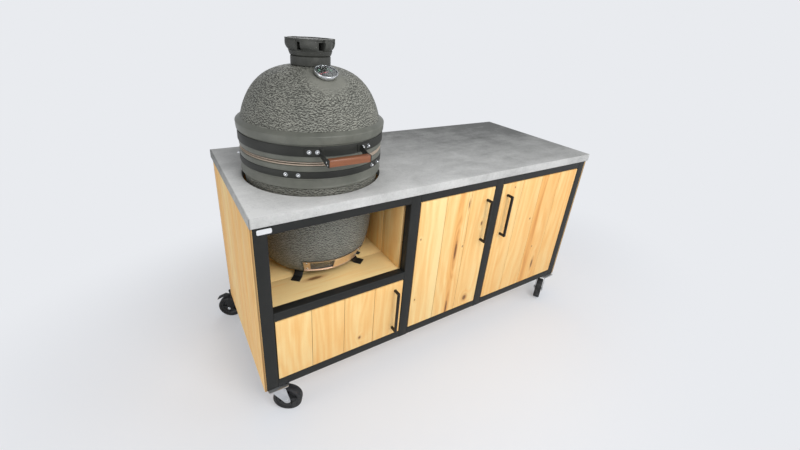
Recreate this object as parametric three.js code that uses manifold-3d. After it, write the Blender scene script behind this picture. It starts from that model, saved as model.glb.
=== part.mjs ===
// Kamado grill table: a welded steel frame on four casters, clad in oak boards, with a concrete
// worktop. A ceramic kamado stands on the shelf of the left bay and rises through a round cut-out.
// Millimetres, +Z up, +Y to the back. The origin is the middle of the footprint, on the floor.
import * as THREE from 'three';
import { mergeVertices } from 'three/addons/utils/BufferGeometryUtils.js';
import Module from 'manifold-3d';

const wasm = await Module();
wasm.setup();

// Shared clearances and facet counts
const seat = 0.3;
const overrun = 20;
const weldTolerance = 0.0005;
const roundSides = 28;
const arcStep = 5;
const capSides = 20;
const wheelSides = 16;
const smallSides = 16;
const pinSides = 8;
const boltSides = 6;
const bellySteps = 7;
const domeSteps = 7;
const roundingSteps = 2;
const bossSteps = 6;
const earSteps = 8;

// Steel frame
const frameLength = 1850;
const frameDepth = 700;
const frameHeight = 780;
const postWidth = 50;
const tubeDepth = 40;
const railHeight = 40;
const leftBay = 600;
const middleBay = 450;
const shelfDrop = 386.5;

// Worktop
const worktopThickness = 40;
const worktopFrontOverhang = 10;
const worktopBackOverhang = 70;
const worktopSideOverhang = 10;
const worktopChamfer = 2;
const cutoutGap = 10.5;

// Boards
const claddingThickness = 9;
const panelThickness = 9.7;
const shelfThickness = 27;
const floorThickness = 18;
const doorThickness = 22;
const grooveWidth = 3;
const grooveDepth = 1.5;
const boardWidth = 150;

// Doors and their pivots
const doorGap = 3;
const pivotInset = 6;
const pivotRadius = 3;
const pivotLength = 11;
const pivotClearance = 0.3;
const pivotEndClearance = 1;
const ledgeHeight = 90;
const ledgeThickness = 15;
const ledgeInset = 35;

// Door handles
const handleLength = 232;
const handleReach = 38;
const handleBar = 11;
const handleCorner = 3;
const handleInset = 45;
const handleTopDrop = 60;

// Casters
const casterHeight = 155;
const wheelRadius = 62.5;
const tyreWidth = 36;
const tyreThickness = 15;
const tyreShoulder = 6;
const casterTrail = 48;
const casterPlateLength = 100;
const casterPlateWidth = 85;
const casterPlateThickness = 4;
const racewayRadius = 27;
const racewayHeight = 14;
const crownThickness = 4;
const crownRadius = 33;
const forkSheet = 3;
const forkClearance = 3;
const forkLegFront = 24;
const forkLegRear = 46;
const axleRadius = 6;
const axleHeadRadius = 9;
const axleHeadLength = 5;
const axleBossRadius = 15;
const bossStartAngle = -150;
const bossEndAngle = 15;
const hubRadius = 15;
const rimThickness = 6;
const webThickness = 8;
const frontCasterInset = 46;
const frontCasterSetback = 34;
const rearCasterInset = 26;
const rearCasterSetback = 6;
const frontTrailAngle = -30;
const rearTrailAngle = 150;
const pedalWidth = 32;
const pedalThickness = 3;
const pedalPivotReach = 40;
const pedalPivotDrop = 24;
const pedalPinRadius = 2.5;
const pedalLength = 72;
const pedalRise = 7;
const pedalFall = 16;

// Kamado body, measured up from its underside
const standHeight = 21.5;
const bellyRadius = 284.5;
const bellyHeight = 432;
const footBevel = 17;
const shellWall = 30;
const shellFloor = 20;
const hearthWall = 19;
const hearthHeight = 90;
const rimWall = 32;
const ringHeight = 43;
const ringStep = 10;
const ringBead = 2.5;
const baseBandHeight = 26;
const baseBandProud = 0.5;
const baseRimHeight = 21;
const rimSetback = 0.5;
const rimRounding = 5;
const bandSheet = 3;
const gasketWidth = 20;
const gasketThickness = 7.3;

// Draft door in the foot of the body
const draftMiddleAngle = -86;
const draftHalfAngle = 36;
const draftLow = 17;
const draftHeight = 61;
const draftPocketMargin = 4;
const draftFrameSheet = 3;
const draftFrameLip = 4.6;
const draftFrameBorder = 8;
const draftWindowAngle = 25;
const draftEndAngle = 7;
const draftPlateSheet = 2;
const draftPlateAngle = 39;
const draftPlateSetback = 1;
const draftPlateClearance = 0.6;
const draftScreenSheet = 1.4;
const draftKnobRadius = 7;
const draftKnobLength = 14;
const screenHoles = 6;
const screenRows = 3;
const screenHoleSize = 6;

// Fire box, fire ring and grates
const fireboxFootGap = 20;
const fireboxFootWall = 22;
const fireboxTaper = 7;
const fireboxGap = 32.5;
const fireboxWall = 22;
const fireboxLegHeight = 75;
const fireboxFloor = 28;
const fireboxShoulderHeight = 160;
const fireboxHeight = 325;
const fireboxMouthWidth = 100;
const coalGrateRadius = 109;
const coalGrateThickness = 12;
const coalGrateLedge = 50;
const coalGrateRecess = 14;
const coalGrateClearance = 0.9;
const coalSlotWidth = 8;
const coalSlots = 9;
const coalGrateRim = 14;
const fireRingHeight = 145;
const fireRingStep = 4;
const fireRingWall = 24;
const grateOverlap = 12;
const grateRing = 6;
const grateHeight = 6;
const grateBar = 4;
const grateBars = 13;

// Lid
const seamHeight = 16;
const lidRimHeight = 22;
const lidBandHeight = 38;
const lidBandProud = 3.5;
const lipHeight = 52;
const lipProud = 4.5;
const lipFootSetback = 1.5;
const lipRounding = 11;
const domeSetback = 1.8;
const domeRise = 434.6;
const domeCentreDrop = 130.5;
const domePower = 2.932;
const lidWall = 28;
const neckRadius = 70;
const throatRadius = 52;
const neckHeight = 28;

// Chimney cap
const collarRadius = 78;
const collarHeight = 34;
const collarSheet = 8;
const collarClearance = 1.5;
const drumRadius = 62;
const drumSheet = 4;
const drumHeight = 62;
const capLobes = 6;
const dialClearance = 1.2;
const dialFootRadius = 80;
const dialRingRadius = 84;
const dialRingHeight = 18;
const dialGroove = 3;
const dialReach = 17;
const dialHeight = 73;
const dialLid = 8;
const dialRim = 5;
const dialSink = 3;
const windowAngle = 26;
const windowSill = 6;
const dialSlotAngle = 14;

// Lid handle
const gripLength = 160;
const gripHeight = 32;
const gripDepth = 25;
const gripReach = 60.5;
const gripRise = 12;
const gripRounding = 4;
const strapSheet = 4;
const strapHeight = 28;
const strapStartAngle = 13;
const strapEndAngle = 26;

// Hinge at the back
const hingeReach = 30;
const hingePinRadius = 5;
const hingePinClearance = 0.5;
const hingeEar = 13;
const hingeBaseHalfWidth = 52;
const hingeLidHalfWidth = 45;
const hingeSheet = 4;
const hingeStrapAngle = 15;
const hingeNearAngle = 70;
const hingeFarAngle = 120;
const hingeStrapHeight = 22;
const springWire = 3;
const springTurns = 8;
const springStepsPerTurn = 8;
const springSides = 5;

// Thermometer on the dome
const gaugeDistance = 150;
const gaugeRadius = 44;
const gaugeHeight = 16;
const gaugeFloor = 8;
const gaugeBezel = 2.5;
const gaugeLedge = 2.5;
const gaugeStemRadius = 4;
const gaugeStemLength = 62;
const gaugeStemClearance = 1;
const gaugeLift = 0.8;
const gaugePinRadius = 1.5;
const gaugePinHeight = 3;
const needleLength = 34;
const needleTail = 10;
const needleWidth = 3.4;
const needleSheet = 1;
const needleHub = 4;
const needleRestAngle = 111;
const lensSheet = 2;

// Feet under the kamado
const footAngle = 40;
const footWidth = 39;
const footSheet = 5;
const standRingInner = 140;
const standRingOuter = 180;
const footKneeRadius = 204;
const footToeRadius = 220;
const footReach = 252;

// Places that follow from the sizes above
const secondPost = postWidth + leftBay;
const thirdPost = secondPost + postWidth + middleBay;
const lastPost = frameLength - postWidth;
const postPlaces = [0, secondPost, thirdPost, lastPost];
const backFrame = frameDepth - tubeDepth;
const topRail = frameHeight - railHeight;
const shelfTop = frameHeight - shelfDrop;
const shelfRail = shelfTop - railHeight;
const bearerTop = shelfTop - shelfThickness;
const kamadoX = postWidth + leftBay / 2;
const kamadoY = frameDepth / 2;
const cutoutRadius = bellyRadius + cutoutGap;
const bellyShares = [
  [1, 1],
  [0.992, 0.93],
  [0.965, 0.7],
  [0.933, 0.475],
  [0.905, 0.29],
  [0.83, 0.104],
  [0.7346, 0.012],
];
const draftPocketRadius = bellyRadius * bellyShares.at(-1)[0];
const footRadius = draftPocketRadius - footBevel;
const hearthRadius = draftPocketRadius - hearthWall;
const fireboxFootRadius = hearthRadius - fireboxFootGap;
const fireboxTopRadius = bellyRadius - shellWall - fireboxGap;
const fireboxShoulderRadius = fireboxTopRadius - fireboxTaper;
const fireRingRadius = fireboxTopRadius + fireRingStep;
const grateRadius = fireRingRadius + grateOverlap;
const ringRadius = bellyRadius + ringStep;
const rimRadius = ringRadius - rimSetback;
const baseBandRadius = ringRadius + baseBandProud;
const bandFoot = bellyHeight + ringHeight;
const rimFoot = bandFoot + baseBandHeight;
const rimTop = rimFoot + baseRimHeight;
const seam = rimTop + seamHeight / 2;
const lidFoot = rimTop + seamHeight;
const lidBandFoot = lidFoot + lidRimHeight;
const lipFoot = lidBandFoot + lidBandHeight;
const domeFoot = lipFoot + lipHeight;
const lidBandRadius = rimRadius + lidBandProud;
const lipRadius = lidBandRadius + lipProud;
const lipFootRadius = lidBandRadius - lipFootSetback;
const domeRadius = lipRadius - domeSetback;
const gripDistance = lidBandRadius + gripReach;
const domeCentre = lidFoot - domeCentreDrop;
const hingeY = lidBandRadius + hingeReach;
const rearCasterPlace = frameDepth - rearCasterSetback;
const draftFrameInner = draftPocketRadius + 2 * seat + draftScreenSheet;

// Materials
function finish(color, roughness, metalness) {
  return new THREE.MeshStandardMaterial({ color, roughness, metalness });
}

const blackSteel = finish(0x232527, 0.55, 0.4);
const oak = finish(0xd9b078, 0.6, 0);
const concrete = finish(0x8f9190, 0.75, 0);
const ceramic = finish(0x4c4f49, 0.45, 0);
const fireclay = finish(0xb49a7c, 0.9, 0);
const felt = finish(0x9a8468, 0.95, 0);
const castIron = finish(0x2a2b2a, 0.6, 0.6);
const stainless = finish(0xb9b6b0, 0.3, 1);
const bandSteel = finish(0x1d1e1f, 0.5, 0.4);
const redWood = finish(0x8a4326, 0.5, 0);
const tyreRubber = finish(0x17181a, 0.8, 0);
const zinc = finish(0x8d9094, 0.4, 0.9);
const chrome = finish(0xd5d7d9, 0.15, 1);
const dialPaint = finish(0xb03030, 0.5, 0);
const glass = finish(0xdfe6e6, 0.05, 0);

// Solids and booleans
function solidOf(geometry) {
  const plain = geometry.index ? geometry.toNonIndexed() : geometry.clone();
  plain.deleteAttribute('normal');
  plain.deleteAttribute('uv');
  const merged = mergeVertices(plain, weldTolerance);
  const corners = merged.index.array;
  const faces = [];
  for (let i = 0; i < corners.length; i += 3) {
    const [a, b, c] = corners.slice(i, i + 3);
    if (a !== b && b !== c && c !== a) faces.push(a, b, c);
  }
  const vertProperties = merged.attributes.position.array;
  const triVerts = new Uint32Array(faces);
  return new wasm.Manifold(new wasm.Mesh({ numProp: 3, vertProperties, triVerts }));
}

function geometryOf(manifold) {
  const mesh = manifold.getMesh();
  const geometry = new THREE.BufferGeometry();
  geometry.setAttribute('position', new THREE.BufferAttribute(mesh.vertProperties, 3));
  geometry.setIndex(new THREE.BufferAttribute(mesh.triVerts, 1));
  geometry.computeVertexNormals();
  return geometry;
}

function join(...shapes) {
  return geometryOf(shapes.map(solidOf).reduce((sum, shape) => sum.add(shape)));
}

function cut(body, ...tools) {
  return geometryOf(tools.map(solidOf).reduce((rest, tool) => rest.subtract(tool), solidOf(body)));
}

function addPiece(group, name, geometry, material) {
  const mesh = new THREE.Mesh(geometryOf(solidOf(geometry)), material);
  mesh.name = name;
  group.add(mesh);
  return mesh;
}

// Plain forms: a block between three pairs of limits, outlines pushed along an axis, turned profiles
function block([x0, x1], [y0, y1], [z0, z1]) {
  const box = new THREE.BoxGeometry(x1 - x0, y1 - y0, z1 - z0);
  return box.translate((x0 + x1) / 2, (y0 + y1) / 2, (z0 + z1) / 2);
}

function outline(points) {
  return new THREE.Shape(points.map(([a, b]) => new THREE.Vector2(a, b)));
}

function alongZ(shape, from, to, curveSegments = smallSides) {
  const options = { depth: to - from, bevelEnabled: false, curveSegments };
  return new THREE.ExtrudeGeometry(shape, options).translate(0, 0, from);
}

// The outline's first axis becomes Y and its second becomes Z
function alongX(shape, from, to, curveSegments = smallSides) {
  const turn = new THREE.Matrix4().makeBasis(
    new THREE.Vector3(0, 1, 0),
    new THREE.Vector3(0, 0, 1),
    new THREE.Vector3(1, 0, 0),
  );
  return alongZ(shape, from, to, curveSegments).applyMatrix4(turn);
}

function facingOut(geometry) {
  const places = geometry.attributes.position;
  const faces = geometry.index;
  const [a, b, c] = [new THREE.Vector3(), new THREE.Vector3(), new THREE.Vector3()];
  let volume = 0;
  for (let i = 0; i < faces.count; i += 3) {
    a.fromBufferAttribute(places, faces.getX(i));
    b.fromBufferAttribute(places, faces.getX(i + 1));
    c.fromBufferAttribute(places, faces.getX(i + 2));
    volume += a.dot(b.cross(c));
  }
  if (volume < 0) faces.array.reverse();
  return geometry;
}

function turned(profile, sides = roundSides) {
  const points = profile.map(([radius, height]) => new THREE.Vector2(radius, height));
  return facingOut(new THREE.LatheGeometry(points, sides).rotateX(Math.PI / 2));
}

function ring(inner, outer, low, high, sides = roundSides) {
  return turned([[inner, low], [outer, low], [outer, high], [inner, high], [inner, low]], sides);
}

function disc(radius, low, high, sides = smallSides) {
  return turned([[0, low], [radius, low], [radius, high], [0, high]], sides);
}

function rodAlongX(radius, from, to, sides = smallSides) {
  return disc(radius, from, to, sides).rotateY(Math.PI / 2);
}

const radians = THREE.MathUtils.degToRad;

// A curved plate: the part of a ring between two angles, in degrees from +X
function ringPart(inner, outer, low, high, from, to) {
  const shape = new THREE.Shape();
  shape.absarc(0, 0, outer, radians(from), radians(to), false);
  shape.absarc(0, 0, inner, radians(to), radians(from), true);
  return alongZ(shape, low, high, Math.ceil((to - from) / arcStep / 2));
}

function arcPoints(centreA, centreB, radius, from, to, steps) {
  const points = [];
  for (let i = 0; i <= steps; i += 1) {
    const angle = radians(from + ((to - from) * i) / steps);
    points.push([centreA + radius * Math.cos(angle), centreB + radius * Math.sin(angle)]);
  }
  return points;
}

// Steel frame: a front ladder that carries the door pivots, and a back one with the depth rails
function frameLadder(front) {
  const back = front + tubeDepth;
  const posts = postPlaces.map((x) => block([x, x + postWidth], [front, back], [0, frameHeight]));
  const rails = [
    block([0, frameLength], [front, back], [topRail, frameHeight]),
    block([0, frameLength], [front, back], [0, railHeight]),
    block([0, secondPost + postWidth], [front, back], [shelfRail, shelfTop]),
  ];
  return [...posts, ...rails];
}

// The opening that each door fills, and the side of its hinge
const doors = [
  { name: 'small_door', left: postWidth, right: secondPost, high: shelfRail, hinge: -1 },
  { name: 'middle_door', left: secondPost + postWidth, right: thirdPost, high: topRail, hinge: -1 },
  { name: 'right_door', left: thirdPost + postWidth, right: lastPost, high: topRail, hinge: 1 },
].map((door) => ({ ...door, low: railHeight }));

function pivotX(door) {
  return door.hinge < 0 ? door.left + doorGap + pivotInset : door.right - doorGap - pivotInset;
}

function doorPivots(radius, length) {
  return doors.flatMap((door) => {
    const x = pivotX(door);
    const low = disc(radius, door.low - seat, door.low + length, pinSides).translate(x, pivotInset, 0);
    const high = disc(radius, door.high - length, door.high + seat, pinSides).translate(x, pivotInset, 0);
    return [low, high];
  });
}

function frameFront() {
  return join(...frameLadder(0), ...doorPivots(pivotRadius, pivotLength));
}

function frameRear() {
  const span = [tubeDepth, backFrame + tubeDepth / 2];
  const depthRails = postPlaces.flatMap((x) => [
    block([x, x + postWidth], span, [topRail, frameHeight]),
    block([x, x + postWidth], span, [0, railHeight]),
  ]);
  const bearers = [0, secondPost].map((x) => (
    block([x, x + postWidth], span, [bearerTop - railHeight, bearerTop])
  ));
  return join(...frameLadder(backFrame), ...depthRails, ...bearers);
}

// Worktop: one concrete slab with broken edges and the round cut-out
function worktop() {
  const shape = outline([
    [-worktopSideOverhang, -worktopFrontOverhang],
    [frameLength + worktopSideOverhang, -worktopFrontOverhang],
    [frameLength + worktopSideOverhang, frameDepth + worktopBackOverhang],
    [-worktopSideOverhang, frameDepth + worktopBackOverhang],
  ]);
  const hole = new THREE.Path();
  hole.absarc(kamadoX, kamadoY, cutoutRadius, 0, 2 * Math.PI, true);
  shape.holes.push(hole);
  const slab = new THREE.ExtrudeGeometry(shape, {
    depth: worktopThickness - 2 * worktopChamfer,
    bevelThickness: worktopChamfer,
    bevelSize: worktopChamfer,
    bevelOffset: -worktopChamfer,
    bevelSegments: 1,
    curveSegments: roundSides / 2,
  });
  return slab.translate(0, 0, frameHeight + worktopChamfer);
}

// Boards side by side: an outline with a V-groove at each joint of its face, which lies on the
// outline's first axis; a negative thickness puts the wood on the other side of the face
function boardOutline(width, thickness) {
  const boards = Math.max(1, Math.round(width / boardWidth));
  const depth = Math.sign(thickness) * grooveDepth;
  const points = [[0, 0]];
  for (let i = 1; i < boards; i += 1) {
    const joint = (width * i) / boards;
    points.push([joint - grooveWidth / 2, 0], [joint, depth], [joint + grooveWidth / 2, 0]);
  }
  points.push([width, 0], [width, thickness], [0, thickness]);
  return outline(points);
}

function cladding(width, turn) {
  return alongZ(boardOutline(width, claddingThickness), 0, frameHeight).rotateZ(turn);
}

function leftCladding() {
  return cladding(frameDepth, -Math.PI / 2).translate(-claddingThickness, frameDepth, 0);
}

function rightCladding() {
  return cladding(frameDepth, Math.PI / 2).translate(frameLength + claddingThickness, 0, 0);
}

function backCladding() {
  const length = frameLength + 2 * claddingThickness;
  const back = frameDepth + claddingThickness;
  return cladding(length, Math.PI).translate(frameLength + claddingThickness, back, 0);
}

function kamadoShelf() {
  const depth = backFrame - tubeDepth;
  const shape = boardOutline(depth, -shelfThickness);
  return alongX(shape, 0, secondPost + postWidth).translate(0, tubeDepth, shelfTop);
}

function cabinetFloor() {
  const shape = boardOutline(backFrame - tubeDepth, -floorThickness);
  return alongX(shape, 0, frameLength).translate(0, tubeDepth, railHeight + floorThickness);
}

function divider(low, high) {
  const panel = alongZ(boardOutline(backFrame - tubeDepth, panelThickness), low, high);
  return panel.rotateZ(-Math.PI / 2).translate(secondPost - panelThickness, backFrame, 0);
}

// A door: upright boards on two ledges, with a hole at each end of its hinge edge for the pivots
function doorLeaf(door) {
  const left = door.left + doorGap;
  const right = door.right - doorGap;
  const low = door.low + doorGap;
  const high = door.high - doorGap;
  const boards = alongZ(boardOutline(right - left, doorThickness), low, high).translate(left, 0, 0);
  const ledgeX = [left + ledgeInset, right - ledgeInset];
  const ledgeY = [doorThickness - seat, doorThickness + ledgeThickness];
  const ledges = [low + ledgeInset, high - ledgeInset - ledgeHeight].map((z) => (
    block(ledgeX, ledgeY, [z, z + ledgeHeight])
  ));
  return cut(
    join(boards, ...ledges),
    ...doorPivots(pivotRadius + pivotClearance, pivotLength + pivotEndClearance),
  );
}

function doorHandle(door) {
  const x = door.hinge < 0 ? door.right - handleInset : door.left + handleInset;
  const tall = door.high - door.low > 2 * (handleTopDrop + handleLength);
  const high = tall ? door.high - handleTopDrop : (door.low + door.high + handleLength) / 2;
  const low = high - handleLength;
  const bar = outline([
    [0, low],
    [0, low + handleBar],
    [handleBar - handleReach, low + handleBar],
    [handleBar - handleReach, high - handleBar],
    [0, high - handleBar],
    [0, high],
    [handleCorner - handleReach, high],
    [-handleReach, high - handleCorner],
    [-handleReach, low + handleCorner],
    [handleCorner - handleReach, low],
  ]);
  return alongX(bar, x - handleBar / 2, x + handleBar / 2);
}

// Casters, each built about its swivel axis with the wheel trailing along +X
const wheelDrop = casterHeight - seat - wheelRadius;
const crownTop = casterPlateThickness + racewayHeight;
const legInner = tyreWidth / 2 + forkClearance;
const legOuter = legInner + forkSheet;

function casterPlate() {
  const plate = block(
    [-casterPlateWidth / 2, casterPlateWidth / 2],
    [-casterPlateLength / 2, casterPlateLength / 2],
    [-casterPlateThickness, 0],
  );
  const raceway = disc(racewayRadius, seat - crownTop, seat - casterPlateThickness);
  return join(plate, raceway);
}

function casterFork() {
  const crown = disc(crownRadius, -crownTop - crownThickness, -crownTop);
  const leg = outline([
    [-forkLegFront, -crownTop],
    [-forkLegFront, -crownTop - axleBossRadius],
    ...arcPoints(casterTrail, -wheelDrop, axleBossRadius, bossStartAngle, bossEndAngle, bossSteps),
    [forkLegRear, -crownTop],
  ]);
  const legs = [legInner, -legOuter].map((y) => (
    alongZ(leg, 0, forkSheet).rotateX(Math.PI / 2).translate(0, y + forkSheet, 0)
  ));
  const axleHalf = legOuter + axleHeadLength;
  const axle = disc(axleRadius, -axleHalf, axleHalf, pinSides);
  const heads = [legOuter - seat, -axleHalf].map((z) => (
    disc(axleHeadRadius, z, z + axleHeadLength + seat, boltSides)
  ));
  const axleSet = join(axle, ...heads).rotateX(Math.PI / 2).translate(casterTrail, 0, -wheelDrop);
  const reach = crownRadius + overrun;
  const sides = [[legOuter, reach], [-reach, -legOuter]].map((width) => (
    block([-reach, reach], width, [-casterHeight, 0])
  ));
  return join(cut(crown, ...sides), ...legs, axleSet);
}

const wheelRim = wheelRadius - tyreThickness - seat;

function casterWheel() {
  const half = tyreWidth / 2;
  const profile = [
    [axleRadius + seat, -half],
    [hubRadius, -half],
    [hubRadius, -webThickness / 2],
    [wheelRim - rimThickness, -webThickness / 2],
    [wheelRim, tyreShoulder - half],
  ];
  const mirrored = profile.map(([radius, side]) => [radius, -side]).reverse();
  const wheel = turned([...profile, ...mirrored, profile[0]], wheelSides);
  return wheel.rotateX(Math.PI / 2).translate(casterTrail, 0, -wheelDrop);
}

function casterTyre() {
  const half = tyreWidth / 2;
  const profile = [
    [wheelRadius - tyreThickness, tyreShoulder - half],
    [wheelRadius - tyreShoulder, -half],
    [wheelRadius, tyreShoulder - half],
  ];
  const mirrored = profile.map(([radius, side]) => [radius, -side]).reverse();
  const tyre = turned([...profile, ...mirrored, profile[0]], wheelSides);
  return tyre.rotateX(Math.PI / 2).translate(casterTrail, 0, -wheelDrop);
}

function brakePedal() {
  const side = outline([
    [pedalPivotReach - pedalPinRadius, -pedalPivotDrop - pedalPinRadius],
    [pedalPivotReach + pedalPinRadius, -pedalPivotDrop - pedalPinRadius],
    [pedalPivotReach + pedalLength / 2, pedalRise - pedalPivotDrop - pedalThickness],
    [pedalPivotReach + pedalLength, -pedalPivotDrop - pedalFall - pedalThickness],
    [pedalPivotReach + pedalLength, -pedalPivotDrop - pedalFall],
    [pedalPivotReach + pedalLength / 2, pedalRise - pedalPivotDrop],
    [pedalPivotReach, pedalPinRadius - pedalPivotDrop],
  ]);
  const plate = alongZ(side, -pedalWidth / 2, pedalWidth / 2);
  const pinHalf = legInner - seat;
  const pin = disc(pedalPinRadius, -pinHalf, pinHalf, pinSides);
  return join(plate, pin.translate(pedalPivotReach, -pedalPivotDrop, 0)).rotateX(Math.PI / 2);
}

// Kamado body: a belly that tapers to a round foot, with the pocket and window of the draft door
function bellyPoints(steps) {
  const places = bellyShares.map(([radius, height]) => (
    new THREE.Vector2(radius * bellyRadius, height * bellyHeight)
  ));
  return new THREE.SplineCurve(places).getPoints(steps).map(({ x, y }) => [x, y]);
}

function baseShell() {
  const bandSeat = baseBandRadius - bandSheet - seat;
  const innerTop = rimRadius - rimWall;
  const outside = [
    [footRadius, 0],
    ...bellyPoints(bellySteps).reverse(),
    [ringRadius - ringBead, bellyHeight],
    [ringRadius, bellyHeight + ringHeight / 2],
    [ringRadius - ringBead, bandFoot],
    [bandSeat, bandFoot],
    [bandSeat, rimFoot],
    [rimRadius, rimFoot],
    ...arcPoints(rimRadius - rimRounding, rimTop - rimRounding, rimRounding, 0, 90, roundingSteps),
  ];
  const inside = bellyPoints(bellySteps)
    .filter(([, height]) => height > hearthHeight + shellWall)
    .map(([radius, height]) => [radius - shellWall, height]);
  const shell = turned([
    [0, 0],
    ...outside,
    [innerTop, rimTop],
    ...inside,
    [hearthRadius, hearthHeight],
    [hearthRadius, shellFloor],
    [0, shellFloor],
  ]);
  const from = draftMiddleAngle - draftHalfAngle;
  const to = draftMiddleAngle + draftHalfAngle;
  const low = draftLow - draftPocketMargin;
  const high = draftLow + draftHeight + draftPocketMargin;
  const margin = draftPocketMargin / 2;
  const pocket = ringPart(draftPocketRadius, bellyRadius, low, high, from - margin, to + margin);
  const hole = ringPart(
    hearthRadius / 2,
    draftPocketRadius + seat,
    draftLow + draftFrameBorder,
    draftLow + draftHeight - draftFrameBorder,
    from + draftEndAngle,
    from + draftEndAngle + draftWindowAngle,
  );
  return cut(shell, pocket, hole);
}

function baseBand() {
  return ring(baseBandRadius - bandSheet, baseBandRadius, bandFoot + seat, rimFoot - seat);
}

function gasket(low) {
  const outer = rimRadius - rimRounding;
  return ring(outer - gasketWidth, outer, low, low + gasketThickness);
}

// Draft door: a riveted frame with a window, a perforated screen behind and a plate that slides in front
function draftFrame() {
  const from = draftMiddleAngle - draftHalfAngle;
  const to = draftMiddleAngle + draftHalfAngle;
  const high = draftLow + draftHeight;
  const outer = draftFrameInner + draftFrameSheet;
  const sheet = ringPart(draftFrameInner, outer, draftLow, high, from, to);
  const lips = [draftLow, high - draftFrameSheet / 2].map((z) => (
    ringPart(draftFrameInner, outer + draftFrameLip, z, z + draftFrameSheet / 2, from, to)
  ));
  const windowStart = from + draftEndAngle;
  const hole = ringPart(
    draftFrameInner - overrun,
    outer + overrun,
    draftLow + draftFrameBorder,
    high - draftFrameBorder,
    windowStart,
    windowStart + draftWindowAngle,
  );
  return join(cut(sheet, hole), ...lips);
}

function draftScreen() {
  const from = draftMiddleAngle - draftHalfAngle + draftEndAngle / 2;
  const to = from + draftWindowAngle + draftEndAngle;
  const outer = draftFrameInner - seat;
  const low = draftLow + draftFrameSheet;
  const high = draftLow + draftHeight - draftFrameSheet;
  const sheet = ringPart(outer - draftScreenSheet, outer, low, high, from, to);
  const pitch = draftWindowAngle / screenHoles;
  const half = screenHoleSize / 2;
  const holes = [];
  for (let row = 1; row <= screenRows; row += 1) {
    const z = low + ((high - low) * row) / (screenRows + 1);
    for (let i = 0; i < screenHoles; i += 1) {
      const hole = block([outer - overrun, outer + overrun], [-half, half], [z - half, z + half]);
      holes.push(hole.rotateZ(radians(from + draftEndAngle / 2 + pitch * (i + 0.5))));
    }
  }
  return cut(sheet, ...holes);
}

function draftPlate() {
  const inner = draftFrameInner + draftFrameSheet + draftPlateClearance;
  const outer = inner + draftPlateSheet;
  const lip = draftFrameSheet / 2 + draftPlateClearance;
  const high = draftLow + draftHeight - lip;
  const end = draftMiddleAngle + draftHalfAngle - draftPlateSetback;
  const sheet = ringPart(inner, outer, draftLow + lip, high, end - draftPlateAngle, end);
  const knob = disc(draftKnobRadius, outer - draftPlateSheet / 2, outer + draftKnobLength, pinSides)
    .rotateY(Math.PI / 2)
    .translate(0, 0, draftLow + draftHeight / 4)
    .rotateZ(radians(end) - draftKnobRadius / outer);
  return join(sheet, knob);
}

// Fire clay inner pieces and the two grates
const fireboxFoot = shellFloor + seat;
const fireboxTop = fireboxFoot + fireboxHeight;
const coalLedgeTop = fireboxFoot + fireboxLegHeight + fireboxFloor;

function firebox() {
  const shoulder = fireboxFoot + fireboxShoulderHeight;
  const coalEdge = coalGrateRadius + coalGrateClearance;
  const walls = turned([
    [fireboxFootRadius - fireboxFootWall, fireboxFoot],
    [fireboxFootRadius, fireboxFoot],
    [fireboxFootRadius, fireboxFoot + fireboxLegHeight],
    [fireboxShoulderRadius, shoulder],
    [fireboxTopRadius, fireboxTop],
    [fireboxTopRadius - fireboxWall, fireboxTop],
    [fireboxShoulderRadius - fireboxWall, shoulder],
    [coalEdge, coalLedgeTop + coalGrateRecess],
    [coalEdge, coalLedgeTop],
    [coalEdge - coalGrateLedge, coalLedgeTop],
    [coalEdge - coalGrateLedge, fireboxFoot + fireboxLegHeight],
    [fireboxFootRadius - fireboxFootWall, fireboxFoot + fireboxLegHeight],
    [fireboxFootRadius - fireboxFootWall, fireboxFoot],
  ]);
  const half = fireboxMouthWidth / 2;
  const mouthHigh = fireboxFoot + fireboxLegHeight - fireboxFootWall / 2;
  const mouth = block([-half, half], [-fireboxFootRadius - overrun, 0], [0, mouthHigh]);
  return cut(walls, mouth.rotateZ(radians(draftMiddleAngle + 90)));
}

function coalGrate() {
  const low = coalLedgeTop + seat;
  const plate = disc(coalGrateRadius, low, low + coalGrateThickness, roundSides);
  const reach = coalGrateRadius - coalGrateRim;
  const pitch = (2 * reach) / coalSlots;
  const slots = Array.from({ length: coalSlots }, (_, i) => {
    const x = pitch * (i + 0.5) - reach;
    const half = Math.sqrt(reach ** 2 - x ** 2);
    const edge = coalSlotWidth / 2;
    return block([x - edge, x + edge], [-half, half], [coalLedgeTop, coalLedgeTop + overrun]);
  });
  return cut(plate, ...slots);
}

const fireRingTop = fireboxTop + seat + fireRingHeight;

function fireRing() {
  return ring(fireRingRadius - fireRingWall, fireRingRadius, fireboxTop + seat, fireRingTop);
}

function cookingGrate() {
  const low = fireRingTop + seat;
  const hoop = ring(grateRadius - grateRing, grateRadius, low, low + grateHeight);
  const reach = grateRadius - grateRing / 2;
  const pitch = (2 * reach) / (grateBars + 1);
  const thick = [low + seat, low + grateHeight - seat];
  const bars = Array.from({ length: grateBars }, (_, i) => {
    const x = pitch * (i + 1) - reach;
    const half = Math.sqrt(reach ** 2 - x ** 2);
    return block([x - grateBar / 2, x + grateBar / 2], [-half, half], thick);
  });
  const tie = block([-reach, reach], [-grateBar / 2, grateBar / 2], [low, low + grateHeight / 2]);
  return join(hoop, tie, ...bars);
}

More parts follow.
